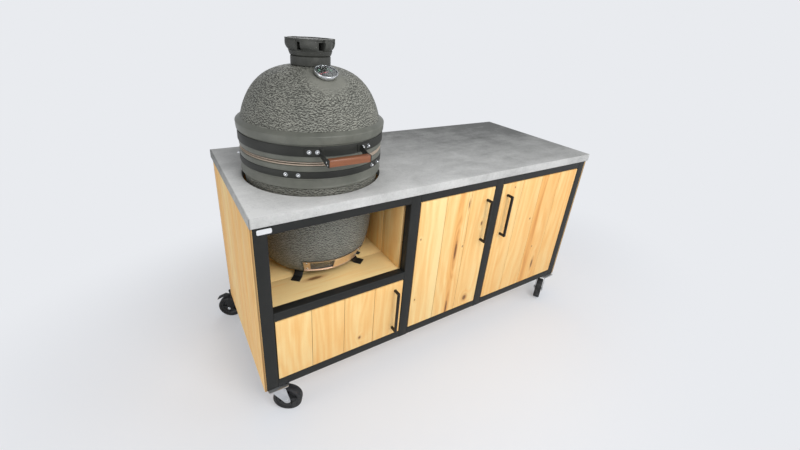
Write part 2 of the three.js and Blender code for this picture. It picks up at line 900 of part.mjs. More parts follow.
// The stand under the kamado: a flat ring with four bent feet
function kamadoStand() {
  const top = -seat;
  const floor = -standHeight;
  const hoop = ring(standRingInner, standRingOuter, top - footSheet, top);
  const side = outline([
    [standRingInner, top - footSheet],
    [standRingInner, top],
    [footKneeRadius, top],
    [footToeRadius, floor + footSheet],
    [footReach, floor + footSheet],
    [footReach, floor],
    [footToeRadius - footSheet / 2, floor],
    [footKneeRadius - footSheet / 2, top - footSheet],
  ]);
  const upright = alongZ(side, -footWidth / 2, footWidth / 2).rotateX(Math.PI / 2);
  const feet = [-90 - footAngle, -90 + footAngle, 90 - footAngle, 90 + footAngle].map((angle) => (
    upright.clone().rotateZ(radians(angle))
  ));
  return join(hoop, ...feet);
}

// Lid: rim, band seat, flared lip and a dome whose profile is a superellipse
function domeHeightAt(radius) {
  const share = (radius / domeRadius) ** domePower;
  return domeCentre + domeRise * (1 - share) ** (1 / domePower);
}

function domePoints(fromHeight, toRadius, inset, steps) {
  const start = Math.asin(((fromHeight - domeCentre) / (domeRise - inset)) ** (domePower / 2));
  const end = Math.acos((toRadius / (domeRadius - inset)) ** (domePower / 2));
  const points = [];
  for (let i = 0; i <= steps; i += 1) {
    const angle = start + ((end - start) * i) / steps;
    points.push([
      (domeRadius - inset) * Math.cos(angle) ** (2 / domePower),
      domeCentre + (domeRise - inset) * Math.sin(angle) ** (2 / domePower),
    ]);
  }
  return points;
}

const neckTop = domeHeightAt(neckRadius) + neckHeight;

function lidShell() {
  const bandSeat = lidBandRadius - bandSheet - seat;
  const shell = turned([
    [rimRadius - rimWall, lidFoot],
    ...arcPoints(rimRadius - rimRounding, lidFoot + rimRounding, rimRounding, -90, 0, roundingSteps),
    [rimRadius, lidBandFoot],
    [bandSeat, lidBandFoot],
    [bandSeat, lipFoot],
    [lipFootRadius, lipFoot],
    ...arcPoints(lipRadius - lipRounding, domeFoot - lipRounding, lipRounding, 0, 90, roundingSteps),
    ...domePoints(domeFoot, neckRadius, 0, domeSteps),
    [neckRadius, neckTop],
    [throatRadius, neckTop],
    ...domePoints(lipFoot, throatRadius, lidWall, domeSteps).reverse(),
    [rimRadius - rimWall, lidFoot],
  ]);
  const bore = disc(gaugeStemRadius + gaugeStemClearance, -lidWall * 2, lidWall, pinSides);
  return cut(shell, bore.applyMatrix4(gaugePlace()));
}

function lidBand() {
  return ring(lidBandRadius - bandSheet, lidBandRadius, lidBandFoot + seat, lipFoot - seat);
}

// Lid handle: a wooden grip between two steel straps bent out from the lid band
const gripLow = seam + gripRise + seat;

function gripBar() {
  const half = gripDepth / 2;
  const edge = gripRounding;
  const high = gripLow + gripHeight;
  const shape = outline([
    [-half + edge, gripLow],
    [half - edge, gripLow],
    [half, gripLow + edge],
    [half, high - edge],
    [half - edge, high],
    [-half + edge, high],
    [-half, high - edge],
    [-half, gripLow + edge],
  ]);
  const end = gripLength / 2 - seat;
  return alongX(shape, -end, end).translate(0, -gripDistance, 0);
}

function gripStrap(side) {
  const middle = (lidBandFoot + lipFoot) / 2;
  const low = middle - strapHeight / 2;
  const high = middle + strapHeight / 2;
  const inner = lidBandRadius + seat;
  const from = side < 0 ? -90 - strapEndAngle : -90 + strapStartAngle;
  const to = from + strapEndAngle - strapStartAngle;
  const strap = ringPart(inner, inner + strapSheet, low, high, from, to);
  const near = -Math.sqrt((inner + strapSheet / 2) ** 2 - (gripLength / 2) ** 2);
  const far = -gripDistance - gripDepth / 2;
  const arm = outline([
    [near, low],
    [near, high],
    [far + gripDepth, gripLow + gripHeight],
    [far, gripLow + gripHeight],
    [far, gripLow],
    [far + gripDepth, gripLow],
  ]);
  const x = side < 0 ? -gripLength / 2 - strapSheet : gripLength / 2;
  return join(strap, alongX(arm, x, x + strapSheet));
}

// Hinge: two pairs of ears on one pin, with a torsion spring wound on it. An ear runs from its
// strap to the pin and rounds it from the angle that faces its own band.
function hingeEars(halfWidth, low, high, inner, angles) {
  const foot = inner - strapSheet;
  const round = arcPoints(hingeY, seam, hingeEar, ...angles, earSteps);
  const ear = outline([[foot, low], ...round, [foot, high]]);
  const ears = [-halfWidth, halfWidth - hingeSheet].map((x) => alongX(ear, x, x + hingeSheet));
  const [from, to] = [90 - hingeStrapAngle, 90 + hingeStrapAngle];
  const strap = ringPart(inner, inner + strapSheet, low, high, from, to);
  const clear = disc(inner, low - overrun, high + overrun + hingeStrapHeight, roundSides);
  return cut(join(strap, ...ears), clear);
}

function hingeBase() {
  const low = bandFoot + (baseBandHeight - hingeStrapHeight) / 2;
  const angles = [-hingeNearAngle, hingeFarAngle];
  const lug = hingeEars(hingeBaseHalfWidth, low, low + hingeStrapHeight, baseBandRadius + seat, angles);
  const clear = disc(rimRadius + hingeSheet, rimFoot, lipFoot, roundSides);
  const pin = rodAlongX(hingePinRadius, -hingeBaseHalfWidth, hingeBaseHalfWidth);
  return join(cut(lug, clear), pin.translate(0, hingeY, seam));
}

function hingeLid() {
  const high = (lidBandFoot + lipFoot + hingeStrapHeight) / 2;
  const angles = [-hingeFarAngle, hingeNearAngle];
  const lug = hingeEars(hingeLidHalfWidth, high - hingeStrapHeight, high, lidBandRadius + seat, angles);
  const reach = hingeLidHalfWidth + overrun;
  const bore = rodAlongX(hingePinRadius + hingePinClearance, -reach, reach);
  return cut(lug, bore.translate(0, hingeY, seam));
}

// The spring's wire follows a helix that rests on the pin between the lid's ears; its least gap
// to itself is the pitch less the wire
const springHalf = hingeLidHalfWidth - hingeSheet - springWire;
const springPitch = (2 * springHalf) / springTurns;
const springRadius = (hingePinRadius + seat + springWire / 2) / Math.cos(Math.PI / springStepsPerTurn);

function hingeSpring() {
  const steps = springTurns * springStepsPerTurn;
  const places = [];
  for (let i = 0; i <= steps; i += 1) {
    const turn = (2 * Math.PI * i) / springStepsPerTurn;
    const centre = [hingeY + springRadius * Math.cos(turn), seam + springRadius * Math.sin(turn)];
    for (let side = 0; side < springSides; side += 1) {
      const angle = (2 * Math.PI * side) / springSides;
      const out = (springWire / 2) * Math.cos(angle);
      const along = (springWire / 2) * Math.sin(angle);
      places.push(
        -springHalf + (springPitch * i) / springStepsPerTurn + along,
        centre[0] + out * Math.cos(turn),
        centre[1] + out * Math.sin(turn),
      );
    }
  }
  const faces = [];
  for (let i = 0; i < steps; i += 1) {
    for (let side = 0; side < springSides; side += 1) {
      const next = (side + 1) % springSides;
      const [a, b] = [i * springSides + side, i * springSides + next];
      faces.push(a, a + springSides, b, b, a + springSides, b + springSides);
    }
  }
  const last = steps * springSides;
  for (let side = 1; side < springSides - 1; side += 1) {
    faces.push(0, side, side + 1, last, last + side + 1, last + side);
  }
  const geometry = new THREE.BufferGeometry();
  geometry.setAttribute('position', new THREE.Float32BufferAttribute(places, 3));
  geometry.setIndex(new THREE.Uint16BufferAttribute(faces, 1));
  return facingOut(geometry);
}

console.log('hinge spring, least gap between turns, mm:', (springPitch - springWire).toFixed(2));

// Thermometer, built with +Z out of the dome and then laid on it
function gaugePlace() {
  const height = domeHeightAt(gaugeDistance);
  const outward = (gaugeDistance / domeRadius) ** (domePower - 1) / domeRadius;
  const upward = ((height - domeCentre) / domeRise) ** (domePower - 1) / domeRise;
  const tilt = Math.atan2(outward, upward);
  const lift = new THREE.Vector3(0, -Math.sin(tilt), Math.cos(tilt)).multiplyScalar(gaugeLift);
  const place = new THREE.Vector3(0, -gaugeDistance, height).add(lift);
  return new THREE.Matrix4().makeRotationX(tilt).setPosition(place);
}

const lensLow = gaugeHeight - lensSheet - gaugeBezel;

function gaugeBody() {
  const inner = gaugeRadius - gaugeBezel;
  return turned([
    [0, -gaugeStemLength],
    [gaugeStemRadius, -gaugeStemLength],
    [gaugeStemRadius, 0],
    [gaugeRadius - gaugeBezel, 0],
    [gaugeRadius, gaugeBezel],
    [gaugeRadius, gaugeHeight - gaugeBezel],
    [gaugeRadius - gaugeBezel / 2, gaugeHeight],
    [inner, gaugeHeight - gaugeBezel],
    [inner, lensLow - seat],
    [inner - gaugeLedge, lensLow - seat],
    [inner - gaugeLedge, gaugeFloor],
    [gaugePinRadius, gaugeFloor],
    [gaugePinRadius, gaugeFloor + gaugePinHeight],
    [0, gaugeFloor + gaugePinHeight],
  ], capSides);
}

function gaugeNeedle() {
  const low = gaugeFloor + seat;
  const blade = outline([
    [-needleWidth / 2, -needleTail],
    [needleWidth / 2, -needleTail],
    [needleWidth / 2, 0],
    [needleWidth / 4, needleLength],
    [-needleWidth / 4, needleLength],
    [-needleWidth / 2, 0],
  ]);
  const hub = disc(needleHub, low, low + needleSheet, pinSides);
  const hole = disc(gaugePinRadius + seat, 0, gaugeHeight, pinSides);
  const needle = cut(join(alongZ(blade, low, low + needleSheet), hub), hole);
  return needle.rotateZ(radians(needleRestAngle));
}

function gaugeLens() {
  return disc(gaugeRadius - gaugeBezel - seat, lensLow, lensLow + lensSheet, capSides);
}

// Chimney cap: a collar with a windowed drum, and a dial with scooped lobes that turns on it
const collarTop = neckTop + seat + collarSheet;
const lobePitch = 360 / capLobes;
const windowPlaceShare = 0.82;
const lobeAngleShares = [0, 0.25, 0.5, 0.72, 0.76, 0.88];
const lobeReachShares = [0, 0.4, 0.8, 1, 0, 0];
const scoopHeightShares = [0, 0.35, 0.7, 1];
const scoopReachShares = [0, 0.7, 1, 0.94];

function capBody() {
  const collar = turned([
    [neckRadius + collarClearance, collarTop - collarHeight],
    [collarRadius, collarTop - collarHeight],
    [collarRadius, collarTop],
    [drumRadius, collarTop],
    [drumRadius, collarTop + drumHeight],
    [drumRadius - drumSheet, collarTop + drumHeight],
    [drumRadius - drumSheet, collarTop],
    [throatRadius, collarTop],
    [throatRadius, neckTop + seat],
    [neckRadius + collarClearance, neckTop + seat],
    [neckRadius + collarClearance, collarTop - collarHeight],
  ], capSides);
  const low = collarTop + dialRingHeight + windowSill;
  const high = collarTop + drumHeight - windowSill;
  const half = windowAngle / 2;
  const windows = Array.from({ length: capLobes }, (_, i) => {
    const middle = lobePitch * (i + windowPlaceShare);
    return ringPart(throatRadius, collarRadius, low, high, middle - half, middle + half);
  });
  return cut(collar, ...windows);
}

function capDial() {
  const columns = Array.from({ length: capLobes }, (_, lobe) => (
    lobeAngleShares.map((share, i) => [radians(lobePitch * (lobe + share)), lobeReachShares[i]])
  )).flat();
  const low = collarTop + seat;
  const ringTop = low + dialRingHeight;
  const high = low + dialHeight;
  const inner = drumRadius + dialClearance;
  const plain = (radius, height) => columns.map(([angle]) => [radius, height, angle]);
  const scoops = scoopHeightShares.map((share, i) => {
    const height = ringTop + (high - ringTop) * share;
    const bulge = dialReach * scoopReachShares[i];
    return columns.map(([angle, reach]) => [dialFootRadius + bulge * reach, height, angle]);
  });
  const rows = [
    plain(0, high - dialLid),
    plain(inner, high - dialLid),
    plain(inner, low),
    plain(dialFootRadius, low),
    plain(dialRingRadius, ringTop - dialGroove),
    ...scoops,
    plain(dialFootRadius - dialRim, high),
    plain(dialFootRadius - dialRim, high - dialSink),
    plain(0, high - dialSink),
  ];
  const places = rows.flat().flatMap(([radius, height, angle]) => (
    [radius * Math.cos(angle), radius * Math.sin(angle), height]
  ));
  const count = columns.length;
  const faces = [];
  for (let row = 0; row < rows.length - 1; row += 1) {
    for (let column = 0; column < count; column += 1) {
      const next = (column + 1) % count;
      const [a, b] = [row * count + column, row * count + next];
      faces.push(a, b, a + count, b, b + count, a + count);
    }
  }
  const geometry = new THREE.BufferGeometry();
  geometry.setAttribute('position', new THREE.Float32BufferAttribute(places, 3));
  geometry.setIndex(new THREE.Uint16BufferAttribute(faces, 1));
  const slotTop = high - dialLid - windowSill;
  const half = dialSlotAngle / 2;
  const slots = Array.from({ length: capLobes }, (_, i) => {
    const middle = lobePitch * (i + windowPlaceShare);
    const reach = collarRadius + overrun;
    return ringPart(inner - overrun, reach, ringTop + windowSill, slotTop, middle - half, middle + half);
  });
  return cut(facingOut(geometry), ...slots);
}

// The whole table, with its origin at the middle of the footprint on the floor
const grillTable = new THREE.Group();
const front = -handleReach;
const back = frameDepth + worktopBackOverhang;
const table = new THREE.Group();
table.position.set(-frameLength / 2, -(front + back) / 2, casterHeight);
grillTable.add(table);

addPiece(table, 'frame_front', frameFront(), blackSteel);
addPiece(table, 'frame_rear', frameRear(), blackSteel);
addPiece(table, 'worktop', worktop(), concrete);
addPiece(table, 'cladding_left', leftCladding(), oak);
addPiece(table, 'cladding_right', rightCladding(), oak);
addPiece(table, 'cladding_back', backCladding(), oak);
addPiece(table, 'kamado_shelf', kamadoShelf(), oak);
addPiece(table, 'cabinet_floor', cabinetFloor(), oak);
addPiece(table, 'divider_upper', divider(shelfTop + seat, frameHeight - seat), oak);
addPiece(table, 'divider_lower', divider(railHeight + floorThickness + seat, bearerTop - seat), oak);

for (const door of doors) {
  addPiece(table, door.name, doorLeaf(door), oak);
  addPiece(table, `${door.name}_handle`, doorHandle(door), blackSteel);
}

const casterRows = [
  { row: 'front', inset: frontCasterInset, y: frontCasterSetback, angle: frontTrailAngle, brake: false },
  { row: 'rear', inset: rearCasterInset, y: rearCasterPlace, angle: rearTrailAngle, brake: true },
];

// The right casters mirror the left ones
const casters = casterRows.flatMap(({ row, inset, y, angle, brake }) => [
  { name: `${row}_left`, x: inset, y, turn: angle, brake },
  { name: `${row}_right`, x: frameLength - inset, y, turn: 180 - angle, brake },
]);

for (const { name, x, y, turn, brake } of casters) {
  const mount = new THREE.Group();
  mount.position.set(x, y, -seat);
  table.add(mount);
  addPiece(mount, `caster_plate_${name}`, casterPlate(), zinc);
  const swivel = new THREE.Group();
  swivel.rotation.z = radians(turn);
  mount.add(swivel);
  addPiece(swivel, `caster_fork_${name}`, casterFork(), zinc);
  addPiece(swivel, `caster_wheel_${name}`, casterWheel(), zinc);
  addPiece(swivel, `caster_tyre_${name}`, casterTyre(), tyreRubber);
  if (brake) addPiece(swivel, `brake_pedal_${name}`, brakePedal(), blackSteel);
}

const kamado = new THREE.Group();
kamado.position.set(kamadoX, kamadoY, shelfTop + seat + standHeight);
table.add(kamado);
addPiece(kamado, 'kamado_stand', kamadoStand(), blackSteel);
addPiece(kamado, 'base_shell', baseShell(), ceramic);
addPiece(kamado, 'base_band', baseBand(), bandSteel);
addPiece(kamado, 'base_gasket', gasket(rimTop + seat), felt);
addPiece(kamado, 'draft_frame', draftFrame(), stainless);
addPiece(kamado, 'draft_screen', draftScreen(), stainless);
addPiece(kamado, 'draft_plate', draftPlate(), stainless);
addPiece(kamado, 'firebox', firebox(), fireclay);
addPiece(kamado, 'fire_ring', fireRing(), fireclay);
addPiece(kamado, 'coal_grate', coalGrate(), castIron);
addPiece(kamado, 'cooking_grate', cookingGrate(), stainless);
addPiece(kamado, 'hinge_base', hingeBase(), bandSteel);
addPiece(kamado, 'hinge_spring', hingeSpring(), zinc);

const lid = new THREE.Group();
kamado.add(lid);
addPiece(lid, 'lid_shell', lidShell(), ceramic);
addPiece(lid, 'lid_band', lidBand(), bandSteel);
addPiece(lid, 'lid_gasket', gasket(lidFoot - seat - gasketThickness), felt);
addPiece(lid, 'hinge_lid', hingeLid(), bandSteel);
addPiece(lid, 'handle_strap_left', gripStrap(-1), bandSteel);
addPiece(lid, 'handle_strap_right', gripStrap(1), bandSteel);
addPiece(lid, 'handle_grip', gripBar(), redWood);
addPiece(lid, 'chimney_collar', capBody(), castIron);
addPiece(lid, 'chimney_dial', capDial(), castIron);

const gauge = new THREE.Group();
gauge.applyMatrix4(gaugePlace());
lid.add(gauge);
addPiece(gauge, 'gauge_body', gaugeBody(), chrome);
addPiece(gauge, 'gauge_needle', gaugeNeedle(), dialPaint);
addPiece(gauge, 'gauge_lens', gaugeLens(), glass);

export default grillTable;
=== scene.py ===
# %% [markdown]
# A kamado grill table, dressed in Blender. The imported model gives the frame: every node's box, the
# bodies that move and the joints between them. This lesson builds the visible surfaces around it,
# piece by piece, in metres, with +X along the table, +Y to its back and +Z up.

import math
import random

import bmesh
import bpy
from mathutils import Matrix, Vector, noise


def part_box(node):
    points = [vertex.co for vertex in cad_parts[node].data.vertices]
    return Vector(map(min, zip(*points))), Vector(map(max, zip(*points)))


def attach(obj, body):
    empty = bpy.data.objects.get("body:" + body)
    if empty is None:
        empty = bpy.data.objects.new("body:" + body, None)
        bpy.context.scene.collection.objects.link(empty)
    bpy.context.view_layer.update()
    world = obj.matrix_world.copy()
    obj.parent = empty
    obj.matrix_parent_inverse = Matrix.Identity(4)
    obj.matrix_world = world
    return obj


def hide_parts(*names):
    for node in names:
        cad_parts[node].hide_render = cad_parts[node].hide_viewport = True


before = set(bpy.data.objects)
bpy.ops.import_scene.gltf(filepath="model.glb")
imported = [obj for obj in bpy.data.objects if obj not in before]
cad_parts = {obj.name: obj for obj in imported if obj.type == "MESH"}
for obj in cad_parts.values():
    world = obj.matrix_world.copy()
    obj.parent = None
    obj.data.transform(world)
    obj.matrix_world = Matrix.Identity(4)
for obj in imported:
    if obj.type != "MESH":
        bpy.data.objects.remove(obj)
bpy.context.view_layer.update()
scene = bpy.context.scene
scene.view_settings.view_transform = "Standard"


# %% [markdown]
# Shader maths is easier to read as an expression than as a list of nodes. The class below wraps an
# output socket, so that `1 - mask * 0.4` adds its Math nodes by itself. A second class holds one
# material, and its `node` method adds any other node.

# %% Shader values
class Value:
    """An output socket that can stand in sums, products, shares and powers."""

    def __init__(self, tree, socket):
        self.tree = tree
        self.socket = socket

    def math(self, operation, *others, swap=False):
        node = self.tree.nodes.new("ShaderNodeMath")
        node.operation = operation
        inputs = [self, *others]
        if swap:
            inputs.reverse()
        for socket, value in zip(node.inputs, inputs):
            connect(self.tree, socket, value)
        return Value(self.tree, node.outputs[0])

    def __add__(self, other):
        return self.math("ADD", other)

    __radd__ = __add__

    def __sub__(self, other):
        return self.math("SUBTRACT", other)

    def __rsub__(self, other):
        return self.math("SUBTRACT", other, swap=True)

    def __mul__(self, other):
        return self.math("MULTIPLY", other)

    __rmul__ = __mul__

    def __truediv__(self, other):
        return self.math("DIVIDE", other)

    def __rtruediv__(self, other):
        return self.math("DIVIDE", other, swap=True)

    def __pow__(self, other):
        return self.math("POWER", other)

    def __rpow__(self, other):
        return self.math("POWER", other, swap=True)

    def clamp(self):
        return self.math("MAXIMUM", 0).math("MINIMUM", 1)


def connect(tree, socket, value):
    if isinstance(value, Value):
        tree.links.new(value.socket, socket)
    elif socket.type == "RGBA" and len(value) == 3:
        socket.default_value = (*value, 1)
    else:
        socket.default_value = value


# %% Materials
def paint(red, green, blue):
    """A colour written as it looks on a screen, from 0 to 255, turned into the linear one."""
    shares = [part / 255 for part in (red, green, blue)]
    return tuple(s / 12.92 if s < 0.04045 else ((s + 0.055) / 1.055) ** 2.4 for s in shares)


class Finish:
    """One material around one Principled shader."""

    def __init__(self, name, **fixed):
        self.material = bpy.data.materials.new(name)
        self.material.use_nodes = True
        self.tree = self.material.node_tree
        self.tree.nodes.clear()
        self.shader = self.tree.nodes.new("ShaderNodeBsdfPrincipled")
        output = self.tree.nodes.new("ShaderNodeOutputMaterial")
        self.tree.links.new(self.shader.outputs[0], output.inputs["Surface"])
        for key, value in fixed.items():
            self.set(key.replace("_", " ").title().replace("Ior", "IOR"), value)
        self.place = self.node("ShaderNodeTexCoord", output="Object")

    def set(self, socket, value):
        connect(self.tree, self.shader.inputs[socket], value)

    def node(self, kind, settings=None, sockets=None, output=0):
        node = self.tree.nodes.new(kind)
        settings = dict(settings or {})
        stops = settings.pop("stops", None)
        for key, value in settings.items():
            setattr(node, key, value)
        if stops:
            elements = node.color_ramp.elements
            while len(elements) < len(stops):
                elements.new(0.5)
            for element, (position, colour) in zip(elements, stops):
                element.position = position
                element.color = (*colour, 1)
        for key, value in (sockets or {}).items():
            connect(self.tree, node.inputs[key], value)
        return Value(self.tree, node.outputs[output])

    def axis(self, vector, name):
        return self.node("ShaderNodeSeparateXYZ", None, {0: vector}, name)

    def vector(self, operation, first, second=(0, 0, 0), output=0):
        return self.node("ShaderNodeVectorMath", {"operation": operation}, {0: first, 1: second}, output)

    def attribute(self, name, output="Fac"):
        return self.node("ShaderNodeAttribute", {"attribute_name": name}, output=output)

    def ramp(self, share, *stops):
        return self.node("ShaderNodeValToRGB", {"stops": stops}, {"Fac": share})

    def stretched(self, scale, place=None):
        return self.node("ShaderNodeMapping", None, {"Vector": place or self.place, "Scale": scale})

    def noise(self, scale, detail, rough, place=None, warp=0.0):
        sockets = {"Scale": scale, "Detail": detail, "Roughness": rough, "Distortion": warp}
        return self.node("ShaderNodeTexNoise", None, {"Vector": place or self.place, **sockets})

    def cells(self, scale):
        return self.node("ShaderNodeTexVoronoi", None, {"Vector": self.place, "Scale": scale}, "Distance")

    def between(self, value, low, high):
        """0 below low, 1 above high, and a smooth step between them."""
        sockets = {"Value": value, "From Min": low, "From Max": high}
        return self.node("ShaderNodeMapRange", {"interpolation_type": "SMOOTHSTEP"}, sockets)

    def mix(self, factor, first, second):
        return self.node("ShaderNodeMix", {"data_type": "RGBA"}, {0: factor, 6: first, 7: second}, output=2)

    def bump(self, height, distance, strength):
        sockets = {"Height": height, "Distance": distance, "Strength": strength}
        return self.node("ShaderNodeBump", None, sockets)

    def look(self, colour, roughness, normal):
        self.set("Base Color", colour)
        self.set("Roughness", roughness)
        self.set("Normal", normal)


# %% [markdown]
# The frame is square tube with a matt powder coat. Powder flows into a very fine orange peel, and
# it rubs a little lighter where hands and tools pass, so colour, roughness and relief all vary.

# %% Powder-coated steel
def coated_steel(name, deep, light, rough):
    coat = Finish(name, specular_ior_level=0.3)
    patches = coat.between(coat.noise(7, 4, 0.6), 0.35, 0.7)
    rubbed = coat.between(coat.noise(90, 3, 0.7), 0.55, 0.8)
    colour = coat.mix(patches * 0.7 + rubbed * 0.3, paint(*deep), paint(*light))
    peel = coat.bump(coat.noise(900, 1, 0.5), 0.0002, 0.5)
    coat.look(colour, rough + 0.1 * patches - 0.08 * rubbed, peel)
    return coat


frame_steel = coated_steel("frame_steel", (29, 30, 29), (41, 42, 40), 0.5)
handle_steel = coated_steel("handle_steel", (20, 20, 20), (32, 32, 32), 0.45)
band_steel = coated_steel("band_steel", (36, 37, 34), (52, 53, 49), 0.5)
caster_black = coated_steel("caster_black", (16, 16, 17), (30, 31, 32), 0.5)
print("coated steels", 4)


# %% [markdown]
# A cast concrete top is never one grey. Cement washes make clouds a hand wide, the trowel leaves
# faint streaks along the slab, and air leaves pin holes. Light and shade are painted in as well: the
# top is palest at its front left corner and darker towards the back and the right, its front face
# takes a tone that darkens towards the right, and its left end face is darkened as painted shade.

# %% Concrete
concrete = Finish("concrete", specular_ior_level=0.35)
worktop_low, worktop_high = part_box("worktop")
clouds = concrete.noise(6, 7, 0.7, warp=0.4)
streaks = concrete.noise(9, 6, 0.7, concrete.stretched((0.7, 2.0, 1.0)))
grit = concrete.noise(150, 4, 0.75)
pores = 1 - concrete.between(concrete.cells(110), 0.06, 0.2)
holes = pores * concrete.between(concrete.noise(30, 2, 0.5), 0.5, 0.62)
along, deep = (
    (concrete.axis(concrete.place, name) - worktop_low[i]) / (worktop_high[i] - worktop_low[i])
    for i, name in enumerate("XY")
)
tone = clouds * 0.45 + streaks * 0.3 + grit * 0.25
# Painted shade on the slab's faces: the front darkens towards the right, the left end face is darker.
front_face_mask = 1 - concrete.between(deep, 0.0, 0.006)
left_face_shade_mask = 1 - concrete.between(along, 0.0, 0.004)
# Painted light: the top is palest at its front left corner, darker towards the back and the right.
painted_top_falloff = 1.14 - 0.77 * along ** 0.5 - 0.48 * deep
tone_and_painted_light = painted_top_falloff * (1 - front_face_mask) + (0.62 - 0.1 * along) * front_face_mask - 0.6 * left_face_shade_mask + (tone - 0.5) * 1.4
colour_with_painted_light = concrete.ramp(tone_and_painted_light, (0.0, paint(112, 113, 111)), (1.0, paint(238, 238, 236)))
relief = concrete.bump(streaks + grit * 0.4 - holes, 0.0008, 0.6)
concrete.look(concrete.mix(holes * 0.5, colour_with_painted_light, paint(104, 105, 104)), 0.66 + 0.2 * clouds, relief)
print("concrete clouds a hand wide")


# %% [markdown]
# The boards are solid oak, sawn flat, so a face shows long arches where the saw crosses the
# growth rings. Each board carries its own coordinates in an attribute: across, through and along
# the grain. Rings are a sine of the distance across, bent by slow noise; broad bands, strands and
# fibres are noise pulled out along the grain, each finer than the last. Knots are dark spots that
# push the rings aside. Two more attributes tint each board and paint shade into the grooves between
# boards; a tint below zero paints a board paler, as painted light.

# %% Oak
def highest(values):
    """The largest of several values at each point, or None where there are none."""
    result = None
    for value in values:
        result = value if result is None else result.math("MAXIMUM", value)
    return result


def knot_at(oak, middle, reach):
    """A knot's dark spot, and the wider hill by which it pushes the rings aside."""
    share = tuple(1 / size if size else 0 for size in reach)
    flat = oak.vector("MULTIPLY", oak.vector("SUBTRACT", oak.place, middle), share)
    distance = oak.vector("LENGTH", flat, output="Value")
    ragged = distance + oak.noise(160, 2, 0.5) * 0.5
    return 1 - oak.between(ragged, 0.8, 1.5), (1 - oak.between(distance, 0, 6)) ** 2


def oak_finish(name, knots=(), streaks=()):
    """Oak with knots (middle, reach along x, y, z) and streaks (x, half width, darkness)."""
    oak = Finish(name, specular_ior_level=0.35)
    grain, tint_and_painted_light, groove_shade = oak.attribute("grain", "Vector"), oak.attribute("tint_and_painted_light"), oak.attribute("groove_shade")

    def pulled(detail, rough, across, along_grain, warp=0.0):
        """Noise that is drawn out along the grain."""
        place = oak.stretched((across, across, along_grain), grain)
        return oak.noise(1, detail, rough, place, warp)

    slow = pulled(3, 0.5, 5, 0.9, 0.3)
    broad = pulled(4, 0.6, 22, 1.1)
    strands = pulled(4, 0.6, 95, 2.2)
    fibres = pulled(4, 0.65, 420, 9)
    pores = oak.between(pulled(3, 0.6, 900, 30), 0.56, 0.74)
    found = [knot_at(oak, *knot) for knot in knots]
    spots, hills = highest([spot for spot, _ in found]), highest([hill for _, hill in found])
    bend = slow * 9 + hills * 2.2 if hills else slow * 9
    rings = (oak.axis(grain, "X") * 150 + bend * 6).math("SINE") * 0.5 + 0.5
    shade = rings * 0.15 + broad * 0.65 + strands * 0.42 + fibres * 0.26 + tint_and_painted_light * 0.24 - 0.46
    side = oak.axis(oak.place, "X")
    for x, width, darkness in streaks:
        offset = (side - x + (slow - 0.5) * 0.04).math("ABSOLUTE")
        shade = shade + (1 - oak.between(offset, width * 0.2, width)) * darkness
    pale, honey = (0.1, paint(253, 222, 158)), (0.35, paint(249, 204, 134))
    wood = oak.ramp(shade, pale, honey, (0.6, paint(244, 186, 110)), (0.95, paint(214, 144, 76)))
    wood = oak.mix(pores * 0.2, wood, paint(176, 122, 72))
    # Painted shade: the grooves between boards are darkened.
    wood = oak.mix(groove_shade * 0.75, wood, paint(112, 74, 40))
    if spots:
        wood = oak.mix(oak.between(hills, 0.4, 0.95) * 0.5, wood, paint(190, 126, 70))
        wood = oak.mix(spots * 0.8, wood, paint(96, 62, 36))
    relief = oak.bump(fibres * 0.5 - pores * 0.6 + rings * 0.12, 0.0004, 0.5)
    oak.look(wood, 0.56 + 0.14 * fibres, relief)
    return oak


# %% [markdown]
# A kamado is stoneware under a thick matt glaze that crawls into pebbles about a centimetre long.
# Each pebble is painted light on its crown and dark round its foot, as light and shade on its
# relief, so one noise gives both the colour and the relief. Its lower side is painted dark too, as
# shade under light from above: the same noise read a little higher up and taken from the first
# finds that side. Round the thermometer's hole and on the wiped lips the glaze lies smooth.

# %% Glaze
gauge_low, gauge_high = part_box("gauge_body")
glaze = Finish("glaze", specular_ior_level=0.35)
flat_pebbles = glaze.stretched((1, 1, 1.5))
above = glaze.vector("ADD", flat_pebbles, (0.0, 0.0, 0.0042))
swell, swell_above = (glaze.noise(150, 1.0, 0.5, place) for place in (flat_pebbles, above))
# Painted shade: the lower side of each pebble is darkened, as if lit from above.
painted_emboss_shading = glaze.between(swell - swell_above, -0.15, 0.15)
pebbles_with_painted_shading = glaze.between(swell, 0.3, 0.62) * 0.4 + painted_emboss_shading * 0.6
cloud = glaze.between(glaze.noise(9, 4, 0.6), 0.3, 0.72)
distance = glaze.vector("DISTANCE", glaze.place, (gauge_low + gauge_high) / 2, "Value")
height = 0.6 + (pebbles_with_painted_shading - 0.6) * glaze.between(distance, 0.05, 0.11)
# Painted light and shade: hollows take a dark colour and crowns a light one.
painted_hollow_shade = glaze.mix(cloud, paint(54, 55, 50), paint(66, 66, 60))
painted_crown_light = glaze.mix(cloud, paint(142, 143, 134), paint(156, 156, 146))
relief = glaze.bump(height, 0.0036, 0.8)
glaze.look(glaze.mix(height, painted_hollow_shade, painted_crown_light), 0.62 - 0.12 * height + 0.08 * cloud, relief)

smooth_glaze = Finish("smooth_glaze", specular_ior_level=0.28)
cloud = smooth_glaze.between(smooth_glaze.noise(12, 4, 0.6), 0.3, 0.72)
ripple = smooth_glaze.bump(smooth_glaze.noise(140, 2, 0.5), 0.0006, 0.4)
colour = smooth_glaze.mix(cloud, paint(96, 98, 90), paint(110, 111, 103))
smooth_glaze.look(colour, 0.34 + 0.1 * cloud, ripple)
print("two glazes")


# %% [markdown]
# Fire clay is left bare: a sandy tan with grog specks and soot where the fire reaches. Felt is a
# mat of crossed fibres, and its edge frays a little.

